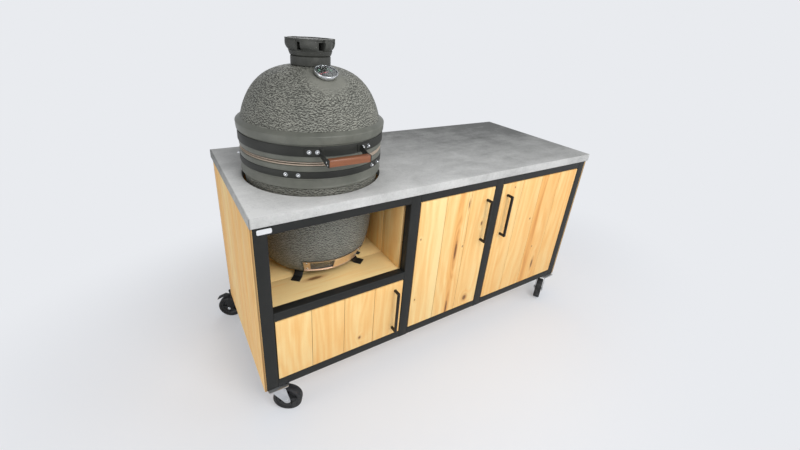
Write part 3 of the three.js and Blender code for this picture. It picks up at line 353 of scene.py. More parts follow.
# %% Fire clay and felt
clay = Finish("fire_clay", specular_ior_level=0.2)
sand = clay.noise(320, 4, 0.7)
soot = clay.between(clay.noise(11, 4, 0.65), 0.42, 0.75)
bare = clay.mix(sand, paint(176, 150, 120), paint(206, 182, 150))
clay.look(clay.mix(soot * 0.55, bare, paint(92, 80, 70)), 0.86 + 0.1 * sand, clay.bump(sand, 0.0008, 0.7))


def felt_finish(name, deep, light):
    mat = Finish(name, specular_ior_level=0.15)
    fuzz = mat.noise(900, 4, 0.8, mat.stretched((1, 1, 0.4)))
    mat.look(mat.mix(fuzz, paint(*deep), paint(*light)), 0.9 + 0.08 * fuzz, mat.bump(fuzz, 0.0008, 0.9))
    return mat


felt = felt_finish("felt", (168, 152, 136), (214, 200, 184))
# A near-black felt for the gaskets' inner mat: painted shade in the gap behind their beads.
painted_shade_felt = felt_finish("painted_shade_felt", (16, 14, 13), (34, 30, 27))


# %% [markdown]
# The metals differ by how they were made. Cast iron keeps the grain of its sand mould; stainless
# sheet keeps the brush lines along the sheet; zinc plate has soft patches, and chrome almost none.

# %% Metals
cast_iron = Finish("cast_iron", specular_ior_level=0.4)
mould = cast_iron.noise(420, 4, 0.7)
worn = cast_iron.between(cast_iron.noise(24, 4, 0.6), 0.45, 0.75)
colour = cast_iron.mix(worn, paint(58, 59, 55), paint(78, 79, 74))
cast_iron.look(colour, 0.5 + 0.14 * worn + 0.1 * mould, cast_iron.bump(mould, 0.0007, 0.55))


def bright_metal(name, deep, light, rough, brush, spread):
    metal = Finish(name, metallic=1.0)
    lines = metal.noise(brush, 3, 0.6, metal.stretched(spread))
    stains = metal.between(metal.noise(18, 4, 0.6), 0.4, 0.75)
    colour = metal.mix(lines * 0.6 + stains * 0.4, paint(*deep), paint(*light))
    metal.look(colour, rough + 0.14 * lines + 0.1 * stains, metal.bump(lines, 0.0002, 0.4))
    return metal


stainless = bright_metal("stainless", (150, 146, 140), (196, 192, 186), 0.24, 60, (1, 1, 14))
warm_stainless = bright_metal("warm_stainless", (226, 204, 184), (246, 236, 226), 0.34, 60, (1, 1, 14))
zinc = bright_metal("zinc", (184, 186, 188), (220, 222, 224), 0.26, 120, (1, 1, 1))
chrome = bright_metal("chrome", (196, 198, 200), (222, 224, 226), 0.08, 200, (1, 1, 1))
wheel_hub = coated_steel("wheel_hub", (40, 41, 42), (62, 63, 64), 0.4)
print("bright metals", 4)


# %% [markdown]
# The remaining finishes are small: a stained hardwood grip, the tyres' grey dusted rubber, the dial
# and its paints, a clear lens and a bare white plate.

# %% Small finishes
red_wood = Finish("red_wood", specular_ior_level=0.5, coat_roughness=0.25)
vein = red_wood.noise(1, 4, 0.6, red_wood.stretched((8, 120, 120)), warp=0.4)
pore = red_wood.between(red_wood.noise(1, 3, 0.6, red_wood.stretched((40, 900, 900))), 0.52, 0.7)
stain = red_wood.mix(vein, paint(106, 54, 26), paint(152, 92, 52))
colour = red_wood.mix(pore * 0.4, stain, paint(88, 46, 30))
red_wood.look(colour, 0.34 + 0.12 * vein, red_wood.bump(vein - pore * 0.6, 0.0003, 0.5))
red_wood.set("Coat Weight", 0.25 + 0.2 * vein)

tyre = Finish("tyre", specular_ior_level=0.3)
dust = tyre.between(tyre.noise(30, 5, 0.7), 0.4, 0.8)
colour = tyre.mix(dust, paint(36, 37, 39), paint(84, 84, 84))
tyre.look(colour, 0.66 + 0.2 * dust, tyre.bump(tyre.noise(500, 2, 0.6), 0.0003, 0.5))


def flat_paint(name, deep, light, rough):
    coat = Finish(name, specular_ior_level=0.5)
    drift = coat.noise(60, 4, 0.65)
    orange_peel = coat.bump(coat.noise(700, 1, 0.5), 0.0001, 0.3)
    coat.look(coat.mix(drift, paint(*deep), paint(*light)), rough + 0.12 * drift, orange_peel)
    return coat


dial_face = flat_paint("dial_face", (58, 60, 58), (74, 76, 73), 0.4)
tick_paint = flat_paint("tick_paint", (214, 216, 214), (230, 232, 230), 0.5)
green_paint = flat_paint("green_paint", (78, 116, 96), (104, 142, 120), 0.45)
needle_paint = flat_paint("needle_paint", (196, 92, 100), (214, 112, 118), 0.4)
white_plate = flat_paint("white_plate", (214, 216, 218), (228, 230, 232), 0.4)
lens = Finish("lens", roughness=0.02, ior=1.45, transmission_weight=1.0)
lens.set("Base Color", lens.mix(lens.noise(20, 2, 0.5), paint(246, 250, 250), paint(255, 255, 255)))
print("materials", len(bpy.data.materials))


# %% [markdown]
# The set is a pale floor under an even studio sky. Camera rays, and rays from gloss and glass, see
# the backdrop's own colour, so nothing has to be lit brighter than it is. Near the table the floor
# is an ordinary diffuse surface, which keeps the shadow, and fades into the backdrop further out.

# %% Floor and sky
backdrop = paint(233, 235, 239)
seen_rays = ("Is Camera Ray", "Is Glossy Ray", "Is Transmission Ray")


def seen(finish):
    rays = [finish.node("ShaderNodeLightPath", output=name) for name in seen_rays]
    return (rays[0] + rays[1] + rays[2]).clamp()


ground = Finish("ground", roughness=1.0, specular_ior_level=0.0, base_color=paint(246, 248, 252))
fade_start, fade_end, floor_share = 0.7, 1.6, 0.62
reach = ground.vector("LENGTH", ground.vector("MULTIPLY", ground.place, (0.62, 1, 0)), output="Value")
glow = ground.node("ShaderNodeEmission", None, {"Color": backdrop, "Strength": 1.0})
near = (1 - ground.between(reach, fade_start, fade_end)) * floor_share
away = (1 - near) * seen(ground)
surface = Value(ground.tree, ground.shader.outputs[0])
blended = ground.node("ShaderNodeMixShader", None, {0: away, 1: surface, 2: glow})
output = next(n for n in ground.tree.nodes if n.type == "OUTPUT_MATERIAL")
ground.tree.links.new(blended.socket, output.inputs["Surface"])


def object_from(bm, name):
    mesh = bpy.data.meshes.new(name)
    bm.to_mesh(mesh)
    bm.free()
    made = bpy.data.objects.new(name, mesh)
    scene.collection.objects.link(made)
    return made


floor_bm = bmesh.new()
bmesh.ops.create_grid(floor_bm, x_segments=1, y_segments=1, size=60)
floor = object_from(floor_bm, "floor")
floor.data.materials.append(ground.material)

world = bpy.data.worlds.new("sky")
scene.world = world
world.use_nodes = True
tree = world.node_tree
sky = next(n for n in tree.nodes if n.type == "BACKGROUND")
sky.inputs["Color"].default_value = (*backdrop, 1)
rays = tree.nodes.new("ShaderNodeLightPath")
camera_ray, gloss_ray, glass_ray = (Value(tree, rays.outputs[name]) for name in seen_rays)
sky_light, gloss_share = 0.42, 0.36
direct = (camera_ray + glass_ray).clamp()
strength = sky_light + (1 - sky_light) * direct + gloss_share * gloss_ray * (1 - direct)
tree.links.new(strength.socket, sky.inputs["Strength"])


# %% Lamps
def area_lamp(name, place, target, size, power):
    lamp = bpy.data.lights.new(name, "AREA")
    lamp.shape = "DISK"
    lamp.size = size
    lamp.energy = power
    holder = bpy.data.objects.new(name, lamp)
    holder.location = place
    aim = Vector(target) - Vector(place)
    holder.rotation_euler = aim.to_track_quat("-Z", "Y").to_euler()
    scene.collection.objects.link(holder)


area_lamp("key", (-0.3, -2.2, 2.6), (-0.2, 0, 0.8), 1.6, 38)
area_lamp("low", (0.2, -3.2, 1.7), (-0.4, 0, 0.6), 1.6, 14)
area_lamp("fill_right", (3.2, -2.2, 1.8), (0.2, 0, 0.6), 2.4, 30)
area_lamp("fill_left", (-3.4, -0.6, 0.7), (-0.6, 0, 0.6), 2.0, 20)
area_lamp("rim", (0.6, 3.2, 3.0), (-0.2, 0, 0.9), 2.0, 22)


# %% [markdown]
# The camera stands at head height, off the table's left front corner, and looks down. Its place and
# axes were solved from the straight edges of the frame in the photograph.

# %% Camera
camera_place = Vector((-1.14143, -1.50372, 1.58079))
camera_right = Vector((0.85730, -0.51127, 0.06025))
camera_up = Vector((0.16681, 0.38659, 0.90704))
camera_back = camera_right.cross(camera_up)
turn = Matrix((camera_right, camera_up, camera_back)).transposed()
view = bpy.data.cameras.new("view")
view.sensor_width = 36
view.lens = 16.985
view.shift_x = 0.0212
view.shift_y = -0.03696
camera = bpy.data.objects.new("view", view)
camera.matrix_world = Matrix.Translation(camera_place) @ turn.to_4x4()
scene.collection.objects.link(camera)
scene.camera = camera
print("camera at", [round(part, 3) for part in camera_place])


# %% [markdown]
# Every piece below is modelled with bmesh operators, at its place in the row's frame, and then
# handed to `piece`, which marks the sharp edges, gives it its finish and ties it to its body.

# %% Modelling helpers
def piece(bm, name, body, finish, slot, stands_for=(), sharp=32):
    limit = math.radians(sharp)
    for face in bm.faces:
        face.smooth = True
    for edge in bm.edges:
        edge.smooth = edge.is_manifold and edge.calc_face_angle(0) < limit
    made = object_from(bm, name)
    made.data.materials.append(finish.material)
    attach(made, body)
    if stands_for:
        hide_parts(*stands_for)
    return made


def placed(bm, mount, *words):
    """A piece that is built flat at the origin and then carried to its mount."""
    bmesh.ops.transform(bm, matrix=mount, verts=bm.verts[:])
    return piece(bm, *words)


def block(bm, low, high):
    low, high = Vector(low), Vector(high)
    place = Matrix.Translation((low + high) / 2) @ Matrix.Diagonal((*(high - low), 1))
    return bmesh.ops.create_cube(bm, size=1, matrix=place)["verts"]


def inner_edges(verts):
    chosen = set(verts)
    return [e for v in chosen for e in v.link_edges if e.other_vert(v) in chosen and e.verts[0] == v]


def soften(bm, edges, width, segments=2):
    bmesh.ops.bevel(
        bm, geom=list(edges), offset=width, segments=segments, profile=0.5, affect="EDGES", material=-1,
        clamp_overlap=True,
    )


def sharp_edges(edges, limit):
    turn = math.radians(limit)
    return [e for e in edges if e.is_manifold and e.calc_face_angle(0) > turn]


def ease(bm, width, segments=2, verts=None, limit=60):
    """Rounds the sharp edges of the whole mesh, or only those of some of its vertices."""
    edges = bm.edges if verts is None else inner_edges(verts)
    soften(bm, sharp_edges(edges, limit), width, segments)


def button(bm, place, out, radius, height):
    """A low domed head that sits on a surface and points out of it."""
    aim = Vector(out).to_track_quat("Z", "Y").to_matrix().to_4x4()
    shape = Matrix.Translation(place) @ aim @ Matrix.Diagonal((1, 1, height / radius, 1))
    bmesh.ops.create_uvsphere(bm, u_segments=20, v_segments=10, radius=radius, matrix=shape)


def tube(bm, low, high, rounding):
    """A straight bar whose long edges are rounded and whose ends are cut square."""
    verts = block(bm, low, high)
    size = Vector(high) - Vector(low)
    run = max(range(3), key=lambda axis: size[axis])
    along = [
        e for e in inner_edges(verts)
        if abs(e.verts[0].co[run] - e.verts[1].co[run]) > size[run] / 2
    ]
    soften(bm, along, rounding, 3)


def rod(bm, radius, start, end, sides=24):
    start, end = Vector(start), Vector(end)
    axis = end - start
    turn = axis.to_track_quat("Z", "Y").to_matrix().to_4x4()
    place = Matrix.Translation((start + end) / 2) @ turn
    return bmesh.ops.create_cone(
        bm, cap_ends=True, segments=sides, radius1=radius, radius2=radius, depth=axis.length, matrix=place
    )["verts"]


def lathe(bm, profile, centre=(0, 0, 0), sides=96, closed=False):
    """Turns a profile of (radius, height) points about the upright axis through centre."""
    verts = [bm.verts.new((radius, 0, height)) for radius, height in profile]
    pairs = list(zip(verts, verts[1:]))
    if closed:
        pairs.append((verts[-1], verts[0]))
    edges = [bm.edges.new(pair) for pair in pairs]
    bmesh.ops.spin(
        bm, geom=verts + edges, cent=(0, 0, 0), axis=(0, 0, 1), angle=2 * math.pi, steps=sides,
        use_merge=True,
    )
    poles = [v for v in connected(verts[0]) if abs(v.co.x) + abs(v.co.y) < 1e-6]
    bmesh.ops.remove_doubles(bm, verts=poles, dist=1e-6)
    found = connected(verts[1])
    faces = {f for v in found for f in v.link_faces}
    bmesh.ops.recalc_face_normals(bm, faces=list(faces))
    bmesh.ops.translate(bm, verts=found, vec=centre)
    return found


def connected(vert):
    found, waiting = {vert}, [vert]
    while waiting:
        for edge in waiting.pop().link_edges:
            for other in edge.verts:
                if other not in found:
                    found.add(other)
                    waiting.append(other)
    return list(found)


def prism(bm, outline, axis, start, end):
    """Pushes a flat outline along one axis; its points are the other two coordinates in order."""
    others = [i for i in range(3) if i != axis]
    verts = []
    for pair in outline:
        place = [0, 0, 0]
        place[axis] = start
        for i, value in zip(others, pair):
            place[i] = value
        verts.append(bm.verts.new(place))
    face = bm.faces.new(verts)
    pushed = bmesh.ops.extrude_face_region(bm, geom=[face])["geom"]
    moved = [v for v in pushed if isinstance(v, bmesh.types.BMVert)]
    step = [0, 0, 0]
    step[axis] = end - start
    bmesh.ops.translate(bm, verts=moved, vec=step)
    found = verts + moved
    faces = {f for v in found for f in v.link_faces}
    bmesh.ops.recalc_face_normals(bm, faces=list(faces))
    return found


# %% [markdown]
# The frame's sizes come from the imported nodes. Posts, rails and bearers are welded square tube. A
# bar with three small rounding steps on its long edges reads as rolled tube, where a plain block
# would look cut from wood.

# %% Frame places
post_width, rail_height, door_gap = 0.050, 0.040, 0.003
frame_low, front_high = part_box("frame_front")
frame_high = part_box("frame_rear")[1]
tube_depth = front_high.y - frame_low.y
front, back = frame_low.y, frame_high.y
base, top = frame_low.z, frame_high.z
left, right = frame_low.x, frame_high.x
small_low, small_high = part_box("small_door")
middle_low, middle_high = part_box("middle_door")
right_low, right_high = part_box("right_door")
posts = [left, small_high.x + door_gap, middle_high.x + door_gap, right - post_width]
shelf_low, shelf_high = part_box("kamado_shelf")
shelf_top = shelf_high.z
print("posts at", [round(x, 4) for x in posts])


# %% Steel frame
tube_rounding = 0.0028


def ladder(near, far):
    bm = bmesh.new()
    for x in posts:
        tube(bm, (x, near, base), (x + post_width, far, top), tube_rounding)
    spans = [(posts[0], posts[1]), (posts[1], posts[2]), (posts[2], posts[3])]
    for start, end in spans:
        start += post_width
        tube(bm, (start, near, top - rail_height), (end, far, top), tube_rounding)
        tube(bm, (start, near, base), (end, far, base + rail_height), tube_rounding)
    start, end = posts[0] + post_width, posts[1]
    tube(bm, (start, near, shelf_top - rail_height), (end, far, shelf_top), tube_rounding)
    return bm


front_frame = ladder(front, front + tube_depth)
pivot_inset, pivot_radius, pivot_length = 0.006, 0.003, 0.011
door_pins = [
    (small_low.x + pivot_inset, small_low.z, small_high.z),
    (middle_low.x + pivot_inset, middle_low.z, middle_high.z),
    (right_high.x - pivot_inset, right_low.z, right_high.z),
]
for x, low, high in door_pins:
    y = front + pivot_inset
    rod(front_frame, pivot_radius, (x, y, low - door_gap), (x, y, low - door_gap + pivot_length), 12)
    rod(front_frame, pivot_radius, (x, y, high + door_gap - pivot_length), (x, y, high + door_gap), 12)
piece(front_frame, "front_frame", "table", frame_steel, "frame_steel", ["frame_front"])

rear_frame = ladder(back - tube_depth, back)
bearer_top = shelf_low.z
for x in posts:
    near, far = front + tube_depth, back - tube_depth
    tube(rear_frame, (x, near, top - rail_height), (x + post_width, far, top), tube_rounding)
    tube(rear_frame, (x, near, base), (x + post_width, far, base + rail_height), tube_rounding)
    if x in posts[:2]:
        low = bearer_top - rail_height
        tube(rear_frame, (x, near, low), (x + post_width, far, bearer_top), tube_rounding)
piece(rear_frame, "rear_frame", "table", frame_steel, "frame_steel", ["frame_rear"])
print("frame bars made")


# %% [markdown]
# The worktop is one cast slab with a round cut-out. Two outlines are filled between, pushed up by
# the slab's thickness, and the sharp edges broken with a small round, as a stone mason would.

# %% Worktop
slab_low, slab_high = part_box("worktop")
kamado_low, kamado_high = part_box("base_shell")
axis_x = (kamado_low.x + kamado_high.x) / 2
axis_y = (kamado_low.y + kamado_high.y) / 2
foot = kamado_low.z
cutout_radius, edge_rounding = 0.295, 0.003

slab = bmesh.new()
corners = [
    slab.verts.new((x, y, slab_low.z))
    for x, y in [
        (slab_low.x, slab_low.y),
        (slab_high.x, slab_low.y),
        (slab_high.x, slab_high.y),
        (slab_low.x, slab_high.y),
    ]
]
rim = bmesh.ops.create_circle(
    slab,
    cap_ends=False,
    segments=144,
    radius=cutout_radius,
    matrix=Matrix.Translation((axis_x, axis_y, slab_low.z)),
)["verts"]
borders = [slab.edges.new((a, b)) for a, b in zip(corners, corners[1:] + corners[:1])]
borders += inner_edges(rim)
bmesh.ops.triangle_fill(slab, use_beauty=True, use_dissolve=False, edges=borders, normal=(0, 0, 1))
raised = bmesh.ops.extrude_face_region(slab, geom=slab.faces[:])["geom"]
bmesh.ops.translate(
    slab,
    verts=[v for v in raised if isinstance(v, bmesh.types.BMVert)],
    vec=(0, 0, slab_high.z - slab_low.z),
)
bmesh.ops.recalc_face_normals(slab, faces=slab.faces[:])
ease(slab, edge_rounding, 3)
piece(slab, "worktop_slab", "table", concrete, "concrete", ["worktop"])
print("worktop from", [round(v, 3) for v in slab_low], "to", [round(v, 3) for v in slab_high])


# %% [markdown]
# A panel is a row of planks. Each plank is its own block with broken edges, so the joints are real
# V-grooves. After the edges are broken, every corner gets the plank's own grain coordinates, with
# a seeded shift, so that no two planks show the same figure.

# %% Planks
plank_gap, plank_edge, plank_width = 0.0010, 0.0014, 0.150
shuffle = random.Random(11)


def planks(low, high, run, across, width=plank_width):
    count = max(1, round((high[across] - low[across]) / width))
    pitch = (high[across] - low[across]) / count
    rows = []
    for i in range(count):
        start, end = Vector(low), Vector(high)
        start[across] = low[across] + pitch * i + (plank_gap / 2 if i else 0)
        end[across] = low[across] + pitch * (i + 1) - (plank_gap / 2 if i < count - 1 else 0)
        rows.append((start, end, run, across))
    return rows


def panel(name, body, finish, rows, stands_for, tints_and_painted_light=None):
    bm = bmesh.new()
    grain = bm.verts.layers.float_vector.new("grain")
    tint_and_painted_light = bm.verts.layers.float.new("tint_and_painted_light")
    groove_shade = bm.verts.layers.float.new("groove_shade")
    for low, high, *_ in rows:
        block(bm, low, high)
    soften(bm, bm.edges[:], plank_edge)
    reach, groove_shade_reach = 2e-5, 1e-4
    for i, (low, high, run, across) in enumerate(rows):
        depth = 3 - run - across
        middle = (low + high) / 2
        pith = Vector((shuffle.uniform(-0.06, 0.06), shuffle.uniform(0.025, 0.09), shuffle.uniform(0, 9)))
        shade = shuffle.random() if tints_and_painted_light is None or i >= len(tints_and_painted_light) else tints_and_painted_light[i]
        for vert in bm.verts:
            if all(low[k] - reach < vert.co[k] < high[k] + reach for k in range(3)):
                from_middle = vert.co - middle
                vert[grain] = pith + Vector((from_middle[across], from_middle[depth], from_middle[run]))
                vert[tint_and_painted_light] = shade
                to_edge = min(vert.co[across] - low[across], high[across] - vert.co[across])
                # A corner on a plank's long edge is marked for the grooves' painted shade.
                vert[groove_shade] = float(to_edge < groove_shade_reach)
    return piece(bm, name, body, finish, "oak", stands_for)


# %% Claddings, shelf and floor
oak = oak_finish("oak")
UP, ALONG, THROUGH = 2, 0, 1
upright_panels = {
    "cladding_left": THROUGH, "cladding_right": THROUGH, "cladding_back": ALONG,
    "divider_upper": THROUGH, "divider_lower": THROUGH,
}
for name, across in upright_panels.items():
    panel(f"{name}_boards", "table", oak, planks(*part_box(name), UP, across), [name])
shelf_knot = (Vector((shelf_low.x + 0.27, shelf_low.y + 0.10, 0)), (0.035, 0.009, 0))
shelf_oak = oak_finish("shelf_oak", [shelf_knot])
shelf_rows = planks(shelf_low, shelf_high, ALONG, THROUGH)
# Painted light: every shelf board takes tint -1.0, palest of all, standing for light deep in the niche.
panel("shelf_boards", "table", shelf_oak, shelf_rows, ["kamado_shelf"], [-1.0] * len(shelf_rows))
floor_rows = planks(*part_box("cabinet_floor"), ALONG, THROUGH)
panel("floor_boards", "table", oak, floor_rows, ["cabinet_floor"])
print("panels made")


# %% [markdown]
# A door is a row of upright boards held by two ledges behind them. Its knots are placed where the
# photograph shows them, by their distance from the door's own corner.

# %% Doors
door_thickness, ledge_height, ledge_inset = 0.022, 0.090, 0.035


def knots_on(x0, z0, *spots):
    """Knots of a door from its lower left corner: across, up, radius and how far it is drawn out."""
    return [
        ((x0 + across, 0, z0 + height), (radius, 0, radius * stretch))
        for across, height, radius, stretch in spots
    ]


def door(name, low, high, body, knots, streaks, tints_and_painted_light):
    rows = planks(low, Vector((high.x, low.y + door_thickness, high.z)), UP, ALONG)
    ledge_y = low.y + door_thickness + plank_gap
    for z in (low.z + ledge_inset, high.z - ledge_inset - ledge_height):
        start = Vector((low.x + ledge_inset, ledge_y, z))
        end = Vector((high.x - ledge_inset, high.y, z + ledge_height))
        rows.append((start, end, ALONG, UP))
    bands = [(low.x + across, width, darkness) for across, width, darkness in streaks]
    finish = oak_finish(f"{name}_oak", knots, bands)
    return panel(f"{name}_leaf", body, finish, rows, [name], tints_and_painted_light)


small_knots = knots_on(small_low.x, small_low.z, (0.375, 0.058, 0.006, 1.3))
middle_knots = knots_on(
    middle_low.x, middle_low.z, (0.244, 0.382, 0.007, 7.5), (0.287, 0.398, 0.003, 1.6),
    (0.240, 0.030, 0.006, 8), (0.366, 0.050, 0.013, 1.2), (0.287, 0.630, 0.003, 7),
    (0.393, 0.504, 0.005, 2.0), (0.019, 0.506, 0.003, 1.5), (0.024, 0.163, 0.003, 1.6),
)
right_knots = knots_on(
    right_low.x, right_low.z, (0.395, 0.112, 0.007, 4.4), (0.272, 0.446, 0.004, 1.2),
    (0.355, 0.244, 0.003, 1.5), (0.090, 0.666, 0.003, 1.4),
)
middle_streaks = [(0.130, 0.012, -0.35), (0.095, 0.05, -0.15), (0.237, 0.03, 0.3), (0.272, 0.004, 0.2)]
right_streaks = [(0.331, 0.035, 0.3), (0.420, 0.03, 0.1)]
door("small_door", small_low, small_high, "door_small", small_knots, [], [0.0, 0.45, 0.5, 0.6])
door("middle_door", middle_low, middle_high, "door_middle", middle_knots, middle_streaks, [0.1, 0.3, 0.3])
door("right_door", right_low, right_high, "door_right", right_knots, right_streaks, [0.45, 0.5, 0.75, 0.6])

handle_bar, handle_bend, handle_edge = 0.011, 0.003, 0.0012
for name in ["small_door", "middle_door", "right_door"]:
    low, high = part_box(f"{name}_handle")
    bend_y, bend_low, bend_high = low.y + handle_bend, low.z + handle_bend, high.z - handle_bend
    bar_y, bar_low, bar_high = low.y + handle_bar, low.z + handle_bar, high.z - handle_bar
    outline = [
        (high.y, low.z), (high.y, bar_low), (bar_y, bar_low), (bar_y, bar_high), (high.y, bar_high),
        (high.y, high.z), (bend_y, high.z), (low.y, bend_high), (low.y, bend_low), (bend_y, low.z),
    ]
    bm = bmesh.new()
    prism(bm, outline, ALONG, low.x, high.x)
    ease(bm, handle_edge, limit=40)
    body = f"door_{name.split('_')[0]}"
    piece(bm, f"{name}_bar", body, handle_steel, "handle_steel", [f"{name}_handle"])
print("three doors with their handles")


# %% [markdown]
# The kamado is thrown and moulded round, so its shells are turned from profiles. The belly follows
# a smooth curve through a few shares of its radius and height; the dome is a superellipse, fuller
# than a ball. All heights here are measured up from the underside of the body.

# %% Kamado sizes
def band_place(node):
    """The heights of a band's edges above the underside of the body, and its radius."""
    low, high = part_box(node)
    return low.z - foot, high.z - foot, (high.x - low.x) / 2


centre = Vector((axis_x, axis_y, foot))
belly_radius, belly_height = 0.2845, 0.432
belly_shares = [
    (1, 1), (0.992, 0.93), (0.965, 0.7), (0.933, 0.475), (0.905, 0.29), (0.83, 0.104), (0.7346, 0.012),
]
foot_radius, hearth_radius, hearth_height = 0.192, 0.190, 0.090
shell_wall, shell_floor, rim_wall = 0.030, 0.020, 0.032
ring_radius, ring_bead = 0.2945, 0.0025
band_sheet, seat = 0.003, 0.0003
base_band_low, base_band_high, base_band_radius = band_place("base_band")
lid_band_low, lid_band_high, lid_band_radius = band_place("lid_band")
rim_radius, rim_top, rim_rounding, shoulder_rounding = 0.294, 0.522, 0.005, 0.002
lid_foot, lid_wall = 0.538, 0.028
lip_foot_radius, lip_radius, lip_edge, lip_top, lip_slot = 0.3005, 0.302, 0.630, 0.645, 0.006
lip_rounding, lip_foot_rounding = 0.007, 0.002
dome_radius, dome_rise, dome_centre, dome_power = 0.3002, 0.4346, 0.4075, 2.932
neck_radius, throat_radius = 0.070, 0.052
neck_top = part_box("lid_shell")[1].z - foot
print("bands' radii", round(base_band_radius, 4), round(lid_band_radius, 4))


# %% Curves for the profiles
def through(points, steps):
    """A smooth curve through points: each stretch leans on its neighbours (Catmull-Rom)."""
    rows = []
    for i in range(len(points) - 1):
        a, b, c, d = (points[min(max(i + k, 0), len(points) - 1)] for k in (-1, 0, 1, 2))
        for step in range(steps):
            t = step / steps
            rows.append(tuple(
                0.5 * (2 * b[k] + (c[k] - a[k]) * t + (2 * a[k] - 5 * b[k] + 4 * c[k] - d[k]) * t ** 2
                       + (3 * b[k] - a[k] - 3 * c[k] + d[k]) * t ** 3)
                for k in (0, 1)
            ))
    return rows + [points[-1]]


def arc(radius, height, rounding, start, end, steps=5):
    turns = [math.radians(start + (end - start) * i / steps) for i in range(steps + 1)]
    return [(radius + rounding * math.cos(t), height + rounding * math.sin(t)) for t in turns]


def dome_curve(from_height, to_radius, inset, steps):
    rise, reach = dome_rise - inset, dome_radius - inset
    start = math.asin(((from_height - dome_centre) / rise) ** (dome_power / 2))
    end = math.acos((to_radius / reach) ** (dome_power / 2))
    turns = [start + (end - start) * i / steps for i in range(steps + 1)]
    return [
        (reach * math.cos(t) ** (2 / dome_power), dome_centre + rise * math.sin(t) ** (2 / dome_power))
        for t in turns
    ]


pebble_depth, pebble_size, pebble_fade = 0.0007, 0.012, 0.012


def pebble(bm, low, high):
    """Rolls the outer surface gently between two heights; it fades out at both."""
    bm.normal_update()
    for vert in bm.verts:
        height = vert.co.z - foot
        outward = (vert.co.x - axis_x) * vert.normal.x + (vert.co.y - axis_y) * vert.normal.y
        if low < height < high and (outward > 0.02 or vert.normal.z > 0.7):
            share = min(1, (height - low) / pebble_fade, (high - height) / pebble_fade)
            vert.co += vert.normal * pebble_depth * share * noise.noise(vert.co * (1 / pebble_size))


# %% [markdown]
# The draft door sits in a shallow pocket that is pressed into the foot of the body. Turning can't
# make a pocket, so the body is cut with a Boolean modifier by the sector of a ring, and its window
# by a second one. The cut mesh is taken back from Blender's evaluated copy.

# %% Body
shell_sides = 288
draft_middle, draft_half = -86, 36
draft_start, draft_end = draft_middle - draft_half, draft_middle + draft_half
draft_low, draft_height, draft_border = 0.017, 0.061, 0.008
draft_high = draft_low + draft_height
window_low, window_high = draft_low + draft_border, draft_high - draft_border
window_left, window_right = 7, 32
window_span = (draft_start + window_left, draft_start + window_right)
pocket_radius, pocket_margin, pocket_end = 0.20899, 0.004, 2
draft_out, draft_slope = 0.006, 0.43


def sector(bm, inner, outer, low, high, start, end, steps, about=centre):
    """A curved plate between two angles in degrees, about the kamado's axis or another one."""
    turn = Matrix.Rotation(math.radians(start), 3, "Z")
    corners = [(inner, low), (outer, low), (outer, high), (inner, high)]
    verts = [bm.verts.new(turn @ Vector((r, 0, z)) + about) for r, z in corners]
    edges = [bm.edges.new(pair) for pair in zip(verts, verts[1:] + verts[:1])]
    bmesh.ops.spin(
        bm, geom=verts + edges, cent=about, axis=(0, 0, 1), angle=math.radians(end - start), steps=steps
    )
    found = connected(verts[0])
    open_edges = {e for v in found for e in v.link_edges if e.is_boundary}
    bmesh.ops.holes_fill(bm, edges=list(open_edges), sides=4)
    bmesh.ops.recalc_face_normals(bm, faces=list({f for v in found for f in v.link_faces}))
    return found


def lean_out(bm):
    """The draft door follows the belly: its pieces stand further out the higher they are."""
    for vert in bm.verts:
        from_axis = Vector((vert.co.x - axis_x, vert.co.y - axis_y))
        reach = from_axis.length + draft_out + draft_slope * (vert.co.z - foot - draft_low)
        if from_axis.length > 0.01:
            vert.co.x, vert.co.y = Vector((axis_x, axis_y)) + from_axis.normalized() * reach
    return bm


def cut(bm, *tools):
    """The body with each tool taken out of it, as a new bmesh."""
    body = object_from(bm, "body_to_cut")
    cutters = [object_from(tool, "cutter") for tool in tools]
    for cutter in cutters:
        modifier = body.modifiers.new("cut", "BOOLEAN")
        modifier.operation = "DIFFERENCE"
        modifier.solver = "EXACT"
        modifier.object = cutter
    graph = bpy.context.evaluated_depsgraph_get()
    result = bmesh.new()
    result.from_object(body, graph)
    for made in [body, *cutters]:
        bpy.data.objects.remove(made)
    return result


belly = through([(r * belly_radius, h * belly_height) for r, h in belly_shares], 14)
groove = base_band_radius - band_sheet - seat
band_foot, rim_foot = base_band_low - seat, base_band_high + seat
outside = [
    (0, 0), (foot_radius, 0), *reversed(belly),
    (ring_radius - ring_bead, belly_height),
    *through([(ring_radius - ring_bead, belly_height + 0.0005), (ring_radius, belly_height + 0.003),
              (ring_radius - 0.0004, belly_height + 0.006), (ring_radius - ring_bead, belly_height + 0.014),
              (ring_radius - ring_bead, band_foot - 0.009), (ring_radius - 0.0004, band_foot - 0.003),
              (ring_radius - ring_bead, band_foot)], 4),
    (groove, band_foot), (groove, rim_foot),
    *arc(rim_radius - shoulder_rounding, rim_foot + shoulder_rounding, shoulder_rounding, -90, 0, 4),
    *arc(rim_radius - rim_rounding, rim_top - rim_rounding, rim_rounding, 0, 90),
]
hearth_top = hearth_height + shell_wall
inside = [(r - shell_wall, h) for r, h in belly if h > hearth_top]
inside += [(hearth_radius, hearth_height), (hearth_radius, shell_floor), (0, shell_floor)]
body_bm = bmesh.new()
lathe(body_bm, [*outside, (rim_radius - rim_wall, rim_top), *inside], centre, shell_sides)
pebble(body_bm, draft_low, belly_height - 0.001)
pocket = bmesh.new()
span = (draft_start - pocket_end, draft_end + pocket_end)
sector(pocket, pocket_radius, belly_radius, draft_low - pocket_margin, draft_high + pocket_margin, *span, 48)
window = bmesh.new()
sector(window, hearth_radius * 0.5, pocket_radius + seat, window_low, window_high, *window_span, 16)
body_bm = cut(body_bm, lean_out(pocket), lean_out(window))
